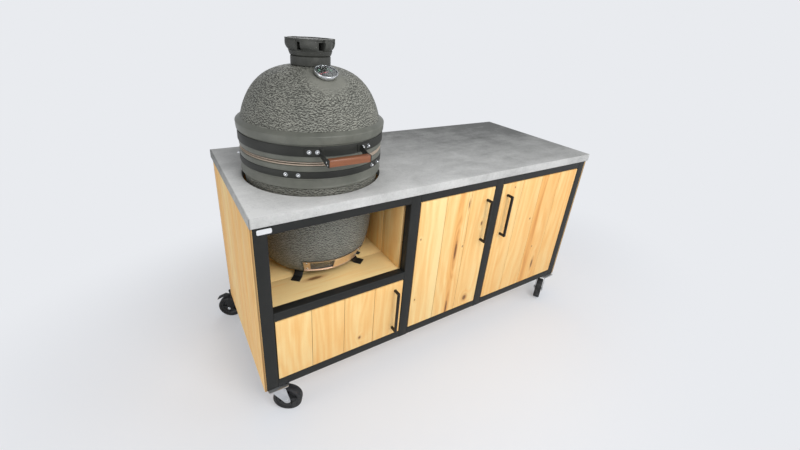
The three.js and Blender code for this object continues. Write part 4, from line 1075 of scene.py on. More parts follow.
piece(body_bm, "kamado_body", "table", glaze, "glazed_shell", ["base_shell"], 40)
print("body with its pocket")


# %% [markdown]
# The lid is one piece with its flared lip. Only the dome is rolled; the lip and the rims stay
# smooth, as they are wiped before firing. The faces below the dome take the smooth glaze.

# %% Lid
groove = lid_band_radius - band_sheet - seat
band_foot, lip_foot = lid_band_low - seat, lid_band_high + seat + lip_slot
outside = [
    (rim_radius - rim_wall, lid_foot),
    *arc(rim_radius - rim_rounding, lid_foot + rim_rounding, rim_rounding, -90, 0),
    *arc(rim_radius - shoulder_rounding, band_foot - shoulder_rounding, shoulder_rounding, 0, 90, 4),
    (groove, band_foot), (groove, lip_foot),
    *arc(lip_foot_radius - lip_foot_rounding, lip_foot + lip_foot_rounding, lip_foot_rounding, -90, 0),
    *arc(lip_radius - lip_rounding, lip_edge, lip_rounding, 0, 55, 6),
    *dome_curve(lip_top, neck_radius, 0, 96),
    (neck_radius, neck_top), (throat_radius, neck_top),
    *reversed(dome_curve(lip_foot, throat_radius, lid_wall, 32)),
]
lid_bm = bmesh.new()
lathe(lid_bm, outside, centre, shell_sides, closed=True)
pebble(lid_bm, lip_top + 0.002, neck_top - 0.045)
lid = piece(lid_bm, "kamado_lid", "lid", glaze, "glazed_shell", ["lid_shell"], 40)


def wipe(made, *spans):
    """Gives the faces between two heights the smooth glaze."""
    made.data.materials.append(smooth_glaze.material)
    for face in made.data.polygons:
        height = face.center.z - foot
        if any(low <= height <= high for low, high in spans):
            face.material_index = 1


wipe(lid, (lid_foot - 0.01, lip_top + 0.0015))
wipe(bpy.data.objects["kamado_body"], (belly_height - 0.0015, rim_top + 0.01))
print("lid turned, dome to", round(neck_top, 3))


# %% Bands and gaskets
def ring(bm, inner, outer, low, high, rounding=0.0006, sides=192):
    made = lathe(bm, [(inner, low), (outer, low), (outer, high), (inner, high)], centre, sides, True)
    ease(bm, rounding, verts=made)


def band(name, body, node, radius, low, high):
    bm = bmesh.new()
    ring(bm, radius - band_sheet, radius, low, high)
    piece(bm, name, body, band_steel, "band_steel", [node])


def at_angle(angle, radius, height):
    turn = math.radians(angle)
    return centre + Vector((radius * math.cos(turn), radius * math.sin(turn), height))


nut_radius, nut_length, washer_radius, washer_sheet = 0.0058, 0.0100, 0.0078, 0.0012
nut_dome, lid_nut_rise = 0.92 * nut_radius, 0.0043


def domed_nut(bm, angle, radius, height):
    """A washer and a cap nut whose end is round, pointing out of the band."""
    root = at_angle(angle, radius - washer_sheet / 2, height)
    out = (at_angle(angle, radius + 1, height) - root).normalized()
    rod(bm, washer_radius, root, root + out * washer_sheet * 1.5)
    neck = root + out * nut_length * 0.55
    rod(bm, nut_radius, root, neck, 6)
    button(bm, neck, out, nut_dome, nut_dome * 0.9)


band("base_band_ring", "table", "base_band", base_band_radius, base_band_low, base_band_high)
band("lid_band_ring", "lid", "lid_band", lid_band_radius, lid_band_low, lid_band_high)
base_nuts, lid_nuts = bmesh.new(), bmesh.new()
for angle in (-130, -121, -59, -50, 15, 165):
    domed_nut(base_nuts, angle, base_band_radius, (base_band_low + base_band_high) / 2)
for angle in (-113, -107.5, -72.5, -67):
    domed_nut(lid_nuts, angle, lid_band_radius + lid_nut_rise, (lid_band_low + lid_band_high) / 2)
piece(base_nuts, "base_band_nuts", "table", chrome, "zinc")
piece(lid_nuts, "lid_band_nuts", "lid", chrome, "zinc")

gasket_inner, bead_gap, bead_height, bead_depth, bead_out = 0.269, 0.0020, 0.0026, 0.008, 0.003
painted_shade_reach = 0.0015
for node, body, side in [("base_gasket", "table", 1), ("lid_gasket", "lid", -1)]:
    low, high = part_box(node)
    lip, meeting = (low.z - foot, high.z - foot) if side > 0 else (high.z - foot, low.z - foot)
    core, bead = (high.x - low.x) / 2 - bead_depth, (high.x - low.x) / 2 + bead_out
    bead_start, bead_end = lip + side * bead_gap, lip + side * (bead_gap + bead_height)
    bm = bmesh.new()
    lathe(bm, [
        (gasket_inner, lip), (core, lip), (core, bead_start), (bead, bead_start), (bead, bead_end),
        (core, bead_end), (core, meeting), (gasket_inner, meeting),
    ], centre, 192, closed=True)
    ease(bm, 0.0009)
    gasket = piece(bm, f"{node}_ring", body, felt, "felt", [node])
    gasket.data.materials.append(painted_shade_felt.material)
    # The mat behind each bead takes the near-black felt, as painted shade in the gap.
    for polygon in gasket.data.polygons:
        from_axis = polygon.center - centre
        from_axis.z = 0
        polygon.material_index = int(from_axis.length < core + painted_shade_reach)
print("bands, nuts and gaskets")


# %% [markdown]
# The draft door is a riveted stainless frame in the body's foot. Behind its window lies a wire
# screen, and a plate with a knob slides round in front of it. The frame is four curved strips, so
# that the window is a true opening; the screen is woven from thin wires. All of it is made upright
# and then leaned out with the belly. Domed rivets sit on the frame and on the plate beside its knob.

# %% Draft door
frame_inner, frame_sheet, frame_lip = 0.21099, 0.003, 0.0046
outer = frame_inner + frame_sheet
strips = [
    (draft_low, window_low, draft_start, draft_end, 48),
    (window_high, draft_high, draft_start, draft_end, 48),
    (window_low, window_high, draft_start, window_span[0], 6),
    (window_low, window_high, window_span[1], draft_end, 30),
]
draft = bmesh.new()
for strip in strips:
    sector(draft, frame_inner, outer, *strip)
for z in (draft_low, draft_high - frame_sheet / 2):
    sector(draft, outer, outer + frame_lip, z, z + frame_sheet / 2, draft_start, draft_end, 48)
piece(lean_out(draft), "draft_door_frame", "table", warm_stainless, "stainless", ["draft_frame"])

rivet_inset, rivet_radius, rivet_rise = 0.013, 0.0048, 0.00288
frame_rivet_turn, plate_rivet_turn = 3.2, 5.5


def rivet_pair(angle, radius, name, body):
    """Two domed heads, one above the other, on a sheet of the draft door."""
    bm = bmesh.new()
    for z in (draft_low + rivet_inset, draft_high - rivet_inset):
        head = at_angle(angle, radius, z)
        button(bm, head, head - centre - Vector((0, 0, z)), rivet_radius, rivet_rise)
    piece(lean_out(bm), name, body, chrome, "stainless")


rivet_pair(draft_start + frame_rivet_turn, outer, "draft_door_rivets", "table")

screen = bmesh.new()
wire, mesh_pitch, screen_border, screen_turn = 0.0008, 0.0034, 0.004, 3
screen_low, screen_high = draft_low + screen_border, draft_high - screen_border
screen_radius = frame_inner - 0.0012
screen_start, screen_end = window_span[0] - screen_turn, window_span[1] + screen_turn
rows = int((screen_high - screen_low) / mesh_pitch)
for i in range(rows + 1):
    z = screen_low + i * mesh_pitch
    sector(screen, screen_radius - wire, screen_radius, z, z + wire, screen_start, screen_end, 16)
columns = int(math.radians(screen_end - screen_start) * screen_radius / mesh_pitch)
for i in range(columns + 1):
    angle = screen_start + math.degrees(i * mesh_pitch / screen_radius)
    wire_foot = at_angle(angle, screen_radius - wire * 1.2, screen_low)
    rod(screen, wire / 2, wire_foot, wire_foot + Vector((0, 0, screen_high - screen_low)), 6)
piece(lean_out(screen), "draft_door_screen", "table", zinc, "stainless", ["draft_screen"])

slide = bmesh.new()
plate_inner, plate_sheet, plate_turn = outer + 0.0006, 0.002, 39
plate_outer, plate_end = plate_inner + plate_sheet, draft_end - 1
plate_low, plate_high = (corner.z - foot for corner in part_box("draft_plate"))
sector(slide, plate_inner, plate_outer, plate_low, plate_high, plate_end - plate_turn, plate_end, 40)
piece(lean_out(slide), "draft_door_plate", "draft", warm_stainless, "stainless", ["draft_plate"])
rivet_pair(plate_end - plate_rivet_turn, plate_outer, "draft_plate_rivets", "draft")

knob_radius, knob_reach, knob_height = 0.007, 0.014, draft_low + draft_height / 4
knob_angle = plate_end - math.degrees(knob_radius / plate_outer)
knob_foot = at_angle(knob_angle, plate_inner + plate_sheet / 2, knob_height)
knob_tip = at_angle(knob_angle, plate_outer + knob_reach, knob_height)
knob = bmesh.new()
rod(knob, knob_radius, knob_foot, knob_tip, 32)
ease(knob, 0.0014, 3)
piece(lean_out(knob), "draft_door_knob", "draft", caster_black, "caster_black")
print("draft door with", rows + columns + 2, "screen wires")


# %% [markdown]
# With the lid up the inside shows. The fire box stands on the floor of the body, the fire ring on
# the fire box, a cast grate lies in the fire box and a rod grate on the ring. The clay is turned,
# the air mouth and the slots are cut by Booleans, and the rod grate is set together from rods.

# %% Fire box, ring and grates
box_foot = shell_floor + seat
box_foot_radius, box_wall, mouth_half = 0.170, 0.022, 0.050
leg_top, shoulder, box_top = box_foot + 0.075, box_foot + 0.160, box_foot + 0.325
shoulder_radius, box_radius, ledge_width = 0.215, 0.222, 0.050
ledge_top, grate_recess = leg_top + 0.028, 0.014
coal_radius, coal_thickness = 0.109, 0.012
coal_edge = coal_radius + 0.0009


def turned(bm, verts, angle, place=centre):
    """Turns new vertices about the upright axis and carries them to their place."""
    spin = Matrix.Rotation(math.radians(angle), 4, "Z")
    bmesh.ops.transform(bm, matrix=Matrix.Translation(place) @ spin, verts=verts)


fire_box = bmesh.new()
lathe(fire_box, [
    (box_foot_radius - box_wall, box_foot), (box_foot_radius, box_foot), (box_foot_radius, leg_top),
    (shoulder_radius, shoulder), (box_radius, box_top), (box_radius - box_wall, box_top),
    (shoulder_radius - box_wall, shoulder), (coal_edge, ledge_top + grate_recess),
    (coal_edge, ledge_top), (coal_edge - ledge_width, ledge_top), (coal_edge - ledge_width, leg_top),
    (box_foot_radius - box_wall, leg_top),
], centre, 128, closed=True)
ease(fire_box, 0.002, limit=40)
mouth = bmesh.new()
made = block(mouth, (-mouth_half, -box_radius, 0), (mouth_half, 0, leg_top - box_wall / 2))
turned(mouth, made, draft_middle + 90)
fire_box = cut(fire_box, mouth)
piece(fire_box, "clay_box", "table", clay, "fire_clay", ["firebox"])

ring_top = box_top + seat + 0.145
fire_hoop = bmesh.new()
ring(fire_hoop, 0.202, 0.226, box_top + seat, ring_top, 0.003, 128)
piece(fire_hoop, "clay_ring", "table", clay, "fire_clay", ["fire_ring"])

coal_low = ledge_top + seat
coal = bmesh.new()
lathe(coal, [
    (0, coal_low), (coal_radius, coal_low), (coal_radius, coal_low + coal_thickness),
    (0, coal_low + coal_thickness),
], centre)
ease(coal, 0.0015)
slots = bmesh.new()
slot_count, slot_half, slot_reach = 9, 0.004, coal_radius - 0.014
for i in range(slot_count):
    x = slot_reach * (2 * (i + 0.5) / slot_count - 1)
    run = math.sqrt(slot_reach ** 2 - x ** 2)
    made = block(slots, (x - slot_half, -run, ledge_top), (x + slot_half, run, ledge_top + 0.05))
    turned(slots, made, 0)
coal = cut(coal, slots)
piece(coal, "slotted_grate", "table", cast_iron, "cast_iron", ["coal_grate"])

grate_radius, grate_wire, bar_wire, bar_count = 0.238, 0.003, 0.002, 13
grate_middle = ring_top + seat + grate_wire
grate = bmesh.new()
lathe(grate, arc(grate_radius - grate_wire, grate_middle, grate_wire, 0, 330, 11), centre, 128, closed=True)
for i in range(bar_count):
    x = (grate_radius - grate_wire) * (2 * (i + 1) / (bar_count + 1) - 1)
    run = math.sqrt((grate_radius - grate_wire) ** 2 - x ** 2)
    side = Vector((x, run, grate_middle))
    rod(grate, bar_wire, centre + side, centre + side - Vector((0, 2 * run, 0)), 10)
tie_run, tie_wire = grate_radius - grate_wire, 0.0015
tie = centre + Vector((0, 0, grate_middle - grate_wire + tie_wire))
rod(grate, tie_wire, tie - Vector((tie_run, 0, 0)), tie + Vector((tie_run, 0, 0)), 10)
piece(grate, "rod_grate", "table", stainless, "stainless", ["cooking_grate"])
print("fire box to", round(box_top, 3), "grate with", bar_count, "bars")


# %% [markdown]
# Sheet-metal brackets are folded, so their profile is a line with a thickness and a bend radius.
# `folded` walks that line, rounds its corners, and steps half a sheet to both sides. The outline is
# then pushed sideways by the width of the strip.

# %% Stand with four feet
def folded(path, sheet, bend, steps=5):
    """The outline of a sheet folded along a path of points, with rounded corners."""
    points = [Vector(p) for p in path]
    rows = [(points[0], (points[1] - points[0]).normalized())]
    for before, corner, after in zip(points, points[1:], points[2:]):
        way_in, way_out = (corner - before).normalized(), (after - corner).normalized()
        setback = (bend + sheet / 2) * math.tan(way_in.angle(way_out) / 2)
        start, end = corner - way_in * setback, corner + way_out * setback
        for i in range(steps + 1):
            t = i / steps
            place = start * (1 - t) ** 2 + corner * 2 * t * (1 - t) + end * t ** 2
            rows.append((place, way_in.lerp(way_out, t).normalized()))
    rows.append((points[-1], (points[-1] - points[-2]).normalized()))
    one_side = [place + Vector((-way.y, way.x)) * sheet / 2 for place, way in rows]
    other_side = [place - Vector((-way.y, way.x)) * sheet / 2 for place, way in rows]
    return [tuple(p) for p in one_side + other_side[::-1]]


foot_sheet, foot_width = 0.005, 0.039
stand_top = -seat
stand_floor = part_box("kamado_stand")[0].z - foot
stand = bmesh.new()
ring(stand, 0.140, 0.180, stand_top - foot_sheet, stand_top, 0.0008, 96)
high_line, low_line = stand_top - foot_sheet / 2, stand_floor + foot_sheet / 2
foot_outline = folded(
    [(0.160, high_line), (0.2035, high_line), (0.2195, low_line), (0.252, low_line)], foot_sheet, 0.003
)
for angle in (-130, -50, 50, 130):
    made = prism(stand, foot_outline, THROUGH, -foot_width / 2, foot_width / 2)
    turned(stand, made, angle)
ease(stand, 0.0007)
piece(stand, "stand_feet", "table", handle_steel, "handle_steel", ["kamado_stand"])
print("stand from", round(stand_floor, 4))


# %% [markdown]
# The lid swings on a pin held in two pairs of ears, one pair welded to each band's strap. A torsion
# spring is wound round the pin. A circle spun about the pin while it is moved along it leaves a
# helix, so one spin with a sideways step makes the whole wire.

# %% Hinge
hinge_y, seam_height = 0.3275, 0.530
pin_radius, ear_radius, ear_sheet, strap_sheet = 0.005, 0.013, 0.004, 0.004
strap_rise, strap_span, mirror = 0.022, (75, 105), Vector((-1, 1, 1))
lower_half, upper_half, pin_half, bore_half = 0.052, 0.045, 0.055, 0.050
pin_head_lip, pin_head_length, bore_clearance = 0.0025, 0.004, 0.0005


def strap(bm, radius, low, high, start, end):
    made = sector(bm, radius + seat, radius + seat + strap_sheet, low, high, start, end, 16)
    ease(bm, 0.0008, verts=made)


def ears(bm, half, radius, low, high, start, end):
    """Two plates that run from the strap round the pin."""
    root = math.sqrt((radius + seat) ** 2 - (half - ear_sheet) ** 2) + seat
    rounding = arc(hinge_y, seam_height, ear_radius, start, end, 16)
    outline = [(root, low), *rounding, (root, high)]
    for x in (-half, half - ear_sheet):
        made = prism(bm, outline, ALONG, x, x + ear_sheet)
        ease(bm, 0.0006, verts=made)


lower = bmesh.new()
low = (base_band_low + base_band_high - strap_rise) / 2
ears(lower, lower_half, base_band_radius, low, low + strap_rise, -70, 120)
pin_end = Vector((pin_half, hinge_y, seam_height))
rod(lower, pin_radius, pin_end * mirror, pin_end, 32)
for side in (-1, 1):
    head = Vector((side * lower_half, hinge_y, seam_height))
    made = rod(lower, pin_radius + pin_head_lip, head, head + Vector((side * pin_head_length, 0, 0)), 32)
    ease(lower, 0.0012, 3, made)
bmesh.ops.translate(lower, verts=lower.verts[:], vec=centre)
strap(lower, base_band_radius, low, low + strap_rise, *strap_span)
piece(lower, "hinge_lower_ears", "table", band_steel, "band_steel", ["hinge_base"])

upper = bmesh.new()
high = (lid_band_low + lid_band_high + strap_rise) / 2
ears(upper, upper_half, lid_band_radius, high - strap_rise, high, -120, 70)
bmesh.ops.translate(upper, verts=upper.verts[:], vec=centre)
bore = bmesh.new()
bore_end = Vector((bore_half, hinge_y, seam_height))
rod(bore, pin_radius + bore_clearance, centre + bore_end * mirror, centre + bore_end, 32)
upper = cut(upper, bore)
strap(upper, lid_band_radius, high - strap_rise, high, *strap_span)
piece(upper, "hinge_upper_ears", "lid", band_steel, "band_steel", ["hinge_lid"])

coil = bmesh.new()
wire_radius, coil_half, coil_turns, coil_steps = 0.0015, 0.038, 8, 32
coil_radius = pin_radius + wire_radius + 2 * seat
steps = coil_turns * coil_steps
wire_start = Vector((-coil_half, hinge_y, seam_height + coil_radius))
made = bmesh.ops.create_circle(
    coil, cap_ends=False, segments=12, radius=wire_radius,
    matrix=Matrix.Translation(wire_start) @ Matrix.Rotation(math.pi / 2, 4, "X"),
)["verts"]
bmesh.ops.spin(
    coil, geom=made + inner_edges(made), cent=(0, hinge_y, seam_height), axis=(1, 0, 0),
    dvec=(2 * coil_half / steps, 0, 0), angle=2 * math.pi * coil_turns, steps=steps,
)
bmesh.ops.holes_fill(coil, edges=[e for e in coil.edges if e.is_boundary], sides=12)
bmesh.ops.recalc_face_normals(coil, faces=coil.faces[:])
bmesh.ops.translate(coil, verts=coil.verts[:], vec=centre)
piece(coil, "hinge_coil", "table", zinc, "zinc", ["hinge_spring"])
print("spring with", coil_turns, "turns")


# %% [markdown]
# The lid's handle is a planed bar of stained hardwood between two brackets. Each bracket is a strap
# along the band with an arm that tapers towards the bar, and two screws hold the bar's end.

# %% Lid handle
grip_low, grip_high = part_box("handle_grip")
grip_lift, strap_height, arm_inner, arm_outer = 0.0045, 0.028, 0.080, 0.084
grip_low.z += grip_lift
strap_low = (lid_band_low + lid_band_high - strap_height) / 2
strap_high = strap_low + strap_height
arm_root = -math.sqrt((lid_band_radius + seat + strap_sheet / 2) ** 2 - arm_inner ** 2)
grip_front, grip_back = grip_low.y - axis_y, grip_high.y - axis_y
arm_outline = [
    (arm_root, strap_low), (arm_root, strap_high), (grip_back, grip_high.z - foot),
    (grip_front, grip_high.z - foot), (grip_front, grip_low.z - foot), (grip_back, grip_low.z - foot),
]
screw_places = ((grip_front + 0.017, 0.562), (grip_front + 0.008, 0.5545))
for side, name, span in ((-1, "left", (-116, -103)), (1, "right", (-77, -64))):
    inner_x, outer_x = side * arm_inner, side * arm_outer
    bracket = bmesh.new()
    made = prism(bracket, arm_outline, ALONG, min(inner_x, outer_x), max(inner_x, outer_x))
    ease(bracket, 0.0012, verts=made, limit=25)
    bmesh.ops.translate(bracket, verts=bracket.verts[:], vec=centre)
    strap(bracket, lid_band_radius, strap_low, strap_high, *span)
    piece(bracket, f"bracket_{name}", "lid", band_steel, "band_steel", [f"handle_strap_{name}"])
    screws = bmesh.new()
    for y, z in screw_places:
        button(screws, centre + Vector((outer_x, y, z)), (side, 0, 0), 0.0034, 0.002)
    piece(screws, f"bracket_screws_{name}", "lid", zinc, "zinc")

grip = bmesh.new()
tube(grip, grip_low, grip_high, 0.0045)
ease(grip, 0.0008)
piece(grip, "wooden_grip", "lid", red_wood, "red_wood", ["handle_grip"])
print("grip", round(grip_high.x - grip_low.x, 3), "long")


# %% [markdown]
# The chimney cap is cast: a collar that grips the neck, a drum with six windows, and a dial with
# six scooped lobes that turns on it. The dial starts as one disc. Its rim is extruded row by row,
# and every new row is set to its radius and height, with the lobes swelling and shrinking in it. A
# lobe rises just after each window and falls away towards the next one. A cup hangs under the
# dial's plate and keeps the windows dark.

# %% Chimney collar
collar_radius, collar_height, drum_radius, drum_sheet, drum_height = 0.078, 0.034, 0.062, 0.004, 0.051
collar_top = neck_top + seat + 0.008
lobe_count, lobe_pitch, window_share, lobe_turn = 6, 60, 0.82, -10.5
neck_inner = neck_radius + 0.0015
collar = bmesh.new()
lathe(collar, [
    (neck_inner, collar_top - collar_height), (collar_radius, collar_top - collar_height),
    (collar_radius, collar_top - 0.0025), (collar_radius - 0.004, collar_top), (drum_radius, collar_top),
    (drum_radius, collar_top + drum_height),
    (drum_radius - drum_sheet, collar_top + drum_height), (drum_radius - drum_sheet, collar_top),
    (throat_radius, collar_top), (throat_radius, neck_top + seat), (neck_inner, neck_top + seat),
], centre, 144, closed=True)
ease(collar, 0.0009, 3)
openings = bmesh.new()
window_sill, dial_ring_height, opening_half, dial_slot_half = 0.004, 0.018, 13, 7
for i in range(lobe_count):
    middle = lobe_turn + lobe_pitch * (i + window_share)
    sector(openings, throat_radius, collar_radius, collar_top + dial_ring_height + window_sill,
           collar_top + drum_height - window_sill, middle - opening_half, middle + opening_half, 8)
collar = cut(collar, openings)
piece(collar, "cap_collar", "lid", cast_iron, "cast_iron", ["chimney_collar"])

# %% Chimney dial
dial_low = collar_top + seat
dial_ring_top, dial_top = dial_low + dial_ring_height, dial_low + 0.062
dial_inner, dial_foot, dial_ring, dial_reach = drum_radius + 0.0012, 0.080, 0.085, 0.0168
lobe_lean, dial_plate = -3, 0.006
dial_lid, dial_sink, dial_rim = 0.008, 0.003, 0.005
swell = through([(0, 1), (0.2, 0.92), (0.45, 0.6), (0.66, 0.35)], 4) + [(0.7, 0), (0.93, 0), (0.955, 0.93)]
rise = through([(0, 0.25), (0.3, 0.8), (0.65, 1), (1, 0.97)], 5)


def reach_at(angle):
    """How far the lobe at this angle stands out, from 0 to 1."""
    share = (math.degrees(angle) / lobe_pitch) % 1
    if share > 0.9999:
        share = 0
    for (a, low), (b, high) in zip(swell, swell[1:] + [(1, swell[0][1])]):
        if a - 1e-6 <= share <= b:
            return low + (high - low) * (share - a) / (b - a)
    return 0


columns = [math.radians(lobe_pitch * (lobe + share)) for lobe in range(lobe_count) for share, _ in swell]
dial = bmesh.new()
first = bmesh.ops.create_circle(dial, cap_ends=True, segments=len(columns), radius=dial_inner)["verts"]
for vert, angle in zip(first, columns):
    turned_to = angle + math.radians(lobe_turn)
    vert.co = (dial_inner * math.cos(turned_to), dial_inner * math.sin(turned_to), dial_top - dial_lid)
plate_low, plate_reach = dial_top - dial_plate, dial_reach - (dial_ring - dial_foot)
lobe_low, top_radius = dial_ring_top + 0.001, dial_foot - dial_rim
lobe_rows = [
    (dial_foot, lobe_low + (plate_low - lobe_low) * share, dial_reach * bulge, share)
    for share, bulge in rise
]
rows = [
    (dial_inner, dial_low, 0, 0), (dial_foot - 0.004, dial_low, 0, 0),
    (dial_foot, dial_low + 0.003, 0, 0), (dial_ring, dial_ring_top, 0, 0),
    (dial_ring - 0.001, lobe_low, 0, 0), *lobe_rows,
    (dial_ring, plate_low + 0.0005, plate_reach, 1), (dial_ring, dial_top, plate_reach, 1),
    (top_radius, dial_top, 0, 1), (top_radius, dial_top - dial_sink, 0, 1),
]
rim_edges = dial.edges[:]
row_of = dict(zip(first, columns))
for radius, height, bulge, lean in rows:
    pushed = bmesh.ops.extrude_edge_only(dial, edges=rim_edges)["geom"]
    rim_edges = [e for e in pushed if isinstance(e, bmesh.types.BMEdge) and len(e.link_faces) == 1]
    fresh = {v for e in rim_edges for v in e.verts}
    old_row = row_of
    row_of = {}
    for vert in fresh:
        below = next(e.other_vert(vert) for e in vert.link_edges if e.other_vert(vert) in old_row)
        row_of[vert] = old_row[below]
    for vert, angle in row_of.items():
        far = radius + bulge * reach_at(angle)
        turned_to = angle + math.radians(lobe_turn + lobe_lean * lean)
        vert.co = (far * math.cos(turned_to), far * math.sin(turned_to), height)
bmesh.ops.edgeloop_fill(dial, edges=rim_edges)
bmesh.ops.recalc_face_normals(dial, faces=dial.faces[:])
rims = [
    e for e in sharp_edges(dial.edges, 50)
    if abs(e.verts[0].co.z - e.verts[1].co.z) < 1e-6 and e.verts[0].co.z < dial_ring_top
]
soften(dial, rims, 0.0006)
bmesh.ops.translate(dial, verts=dial.verts[:], vec=centre)
slots = bmesh.new()
for i in range(lobe_count):
    middle = lobe_turn + lobe_pitch * (i + window_share)
    sector(slots, dial_inner - 0.002, collar_radius + 0.03, dial_ring_top + window_sill,
           dial_top - dial_lid - window_sill, middle - dial_slot_half, middle + dial_slot_half, 8)
dial = cut(dial, slots)
cup_radius, cup_sheet, cup_height = 0.047, 0.002, 0.040
cup_top = dial_top - dial_lid
cup_inner, cup_low = cup_radius - cup_sheet, cup_top - cup_height
cup = [(cup_inner, cup_low), (cup_radius, cup_low), (cup_radius, cup_top), (cup_inner, cup_top)]
lathe(dial, cup, centre, 72, closed=True)
piece(dial, "cap_dial", "dial", cast_iron, "cast_iron", ["chimney_dial"])
print("cap from", round(collar_top - collar_height, 3), "to", round(dial_top, 3))


# %% [markdown]
# The thermometer is a can with a chrome bezel, a printed face, a needle on a pin and a glass. It is
# built flat, looking up, and then tilted onto the dome by one matrix. The face's marks are thin
# plates of paint that stand a hair above it, so they need no picture.

# %% Thermometer
gauge_radius, gauge_height, gauge_floor, bezel, ledge = 0.044, 0.016, 0.008, 0.0017, 0.0016
gauge_distance, gauge_lift = 0.150, 0.0008
share = gauge_distance / dome_radius
gauge_rise = dome_centre + dome_rise * (1 - share ** dome_power) ** (1 / dome_power)
outward = share ** (dome_power - 1) / dome_radius
upward = ((gauge_rise - dome_centre) / dome_rise) ** (dome_power - 1) / dome_rise
tilt = math.atan2(outward, upward)
seat_point = centre + Vector((0, -gauge_distance, gauge_rise))
seat_point += Vector((0, -math.sin(tilt), math.cos(tilt))) * gauge_lift
on_dome = Matrix.Translation(seat_point) @ Matrix.Rotation(tilt, 4, "X")
face_radius = gauge_radius - bezel - ledge
lens_low = gauge_height - 0.002 - bezel
origin = Vector()

case = bmesh.new()
inner = gauge_radius - bezel
can_foot, can_low = gauge_radius - 0.006, 0.005
lathe(case, [
    (0, -0.062), (0.004, -0.062), (0.004, 0), (can_foot, 0), (can_foot, can_low), (inner, can_low),
    *arc(inner, can_low + bezel, bezel, -90, 0, 4), *arc(inner, gauge_height - bezel, bezel, 0, 120, 8),
    (inner, lens_low - seat), (face_radius, lens_low - seat), (face_radius, gauge_floor),
    (0.0015, gauge_floor), (0.0015, gauge_floor + 0.003), (0, gauge_floor + 0.003),
])
placed(case, on_dome, "thermometer_case", "lid", chrome, "chrome", ["gauge_body"])

paint_low, paint_top = gauge_floor + 0.00002, gauge_floor + 0.00016
face = bmesh.new()
face_low, face_top = gauge_floor + 0.00001, paint_low + 0.00006
sector(face, 0.0017, face_radius - seat, face_low, face_top, 0, 359.9, 72, origin)
placed(face, on_dome, "thermometer_face", "lid", dial_face, "needle_paint")
marks = bmesh.new()
scale_start, scale_span, mark_count, mark_outer = 215, -250, 26, face_radius - 0.002
for i in range(mark_count):
    angle = scale_start + scale_span * i / (mark_count - 1)
    half, length = (0.9, 0.0075) if i % 5 == 0 else (0.45, 0.0050)
    start, end = angle - half, angle + half
    sector(marks, face_radius - length, mark_outer, paint_low, paint_top, start, end, 1, origin)
placed(marks, on_dome, "thermometer_marks", "lid", tick_paint, "needle_paint")
zones = bmesh.new()
zone_inner, zone_outer = face_radius - 0.0165, face_radius - 0.0095
for start, end in ((118, 165), (15, 62)):
    sector(zones, zone_inner, zone_outer, paint_low, paint_top, start, end, 12, origin)
placed(zones, on_dome, "thermometer_zones", "lid", green_paint, "needle_paint")

needle = bmesh.new()
needle_low, needle_sheet, needle_length = gauge_floor + seat, 0.001, 0.034
needle_tail, needle_width, needle_rest = 0.010, 0.0034, 111
outline = [
    (-needle_width / 2, -needle_tail), (needle_width / 2, -needle_tail), (needle_width / 2, 0),
    (needle_width / 4, needle_length), (-needle_width / 4, needle_length), (-needle_width / 2, 0),
]
prism(needle, outline, UP, needle_low, needle_low + needle_sheet * 0.8)
rod(needle, 0.004, (0, 0, needle_low), (0, 0, needle_low + needle_sheet), 32)
ease(needle, 0.0001, 1)
turned(needle, needle.verts[:], needle_rest, origin)
placed(needle, on_dome, "thermometer_needle", "needle", needle_paint, "needle_paint", ["gauge_needle"])

glass = bmesh.new()
glass_radius = inner - seat
lathe(glass, [
    (0, lens_low), (glass_radius, lens_low), (glass_radius, lens_low + 0.0013),
    (glass_radius * 0.96, lens_low + 0.0016), (glass_radius * 0.5, lens_low + 0.0019),
    (0, lens_low + 0.002),
])
placed(glass, on_dome, "thermometer_glass", "lid", lens, "lens", ["gauge_lens"])
print("thermometer tilted by", round(math.degrees(tilt), 1), "degrees")


# %% [markdown]
# A caster is a plate with a ball race, a fork folded from sheet, and a wheel on a bolt. It is built
# once at the origin with its wheel trailing along +X, as a function of its name, and then turned to
# the angle it stands at. The wheel is turned about the upright axis first and laid on its side.

# %% Casters
wheel_radius, tyre_width, tyre_thickness, tyre_shoulder = 0.0625, 0.036, 0.015, 0.006
trail, crown_top, crown_sheet, crown_radius = 0.048, 0.018, 0.004, 0.033
leg_inner, leg_sheet, plate_sheet = 0.021, 0.003, 0.004
leg_outer = leg_inner + leg_sheet
wheel_drop = 0.155 - seat - wheel_radius
axle_radius, boss_radius = 0.006, 0.015
laid = Matrix.Translation((trail, 0, -wheel_drop)) @ Matrix.Rotation(math.pi / 2, 4, "X")


def mirrored(profile):
    """A wheel's half profile of (radius, side) with its other half."""
    return [*profile, *[(radius, -side) for radius, side in reversed(profile)]]


def caster_plate(bm):
    made = block(bm, (-0.0425, -0.050, -plate_sheet), (0.0425, 0.050, 0))
    upright = [e for e in inner_edges(made) if abs(e.verts[0].co.z - e.verts[1].co.z) > plate_sheet / 2]
    soften(bm, upright, 0.008, 5)
    ease(bm, 0.0006)
    low = seat - crown_top
    lathe(bm, [
        (0, -plate_sheet), (0.027, -plate_sheet), (0.027, -0.0085), (0.0245, -0.0095), (0.0245, -0.0115),
        (0.027, -0.0125), (0.027, low + 0.001), (0.026, low), (0, low),
    ], sides=64)


bolt_out, bolt_side = 0.030, 0.038


def caster_bolts(bm):
    for x in (-bolt_out, bolt_out):
        for y in (-bolt_side, bolt_side):
            place = Vector((x, y, -plate_sheet))
            rod(bm, 0.0068, place, place + Vector((0, 0, -0.0012)))
            rod(bm, 0.0052, place, place + Vector((0, 0, -0.0052)), 6)
            button(bm, place + Vector((0, 0, -0.0050)), (0, 0, -1), 0.0036, 0.0028)


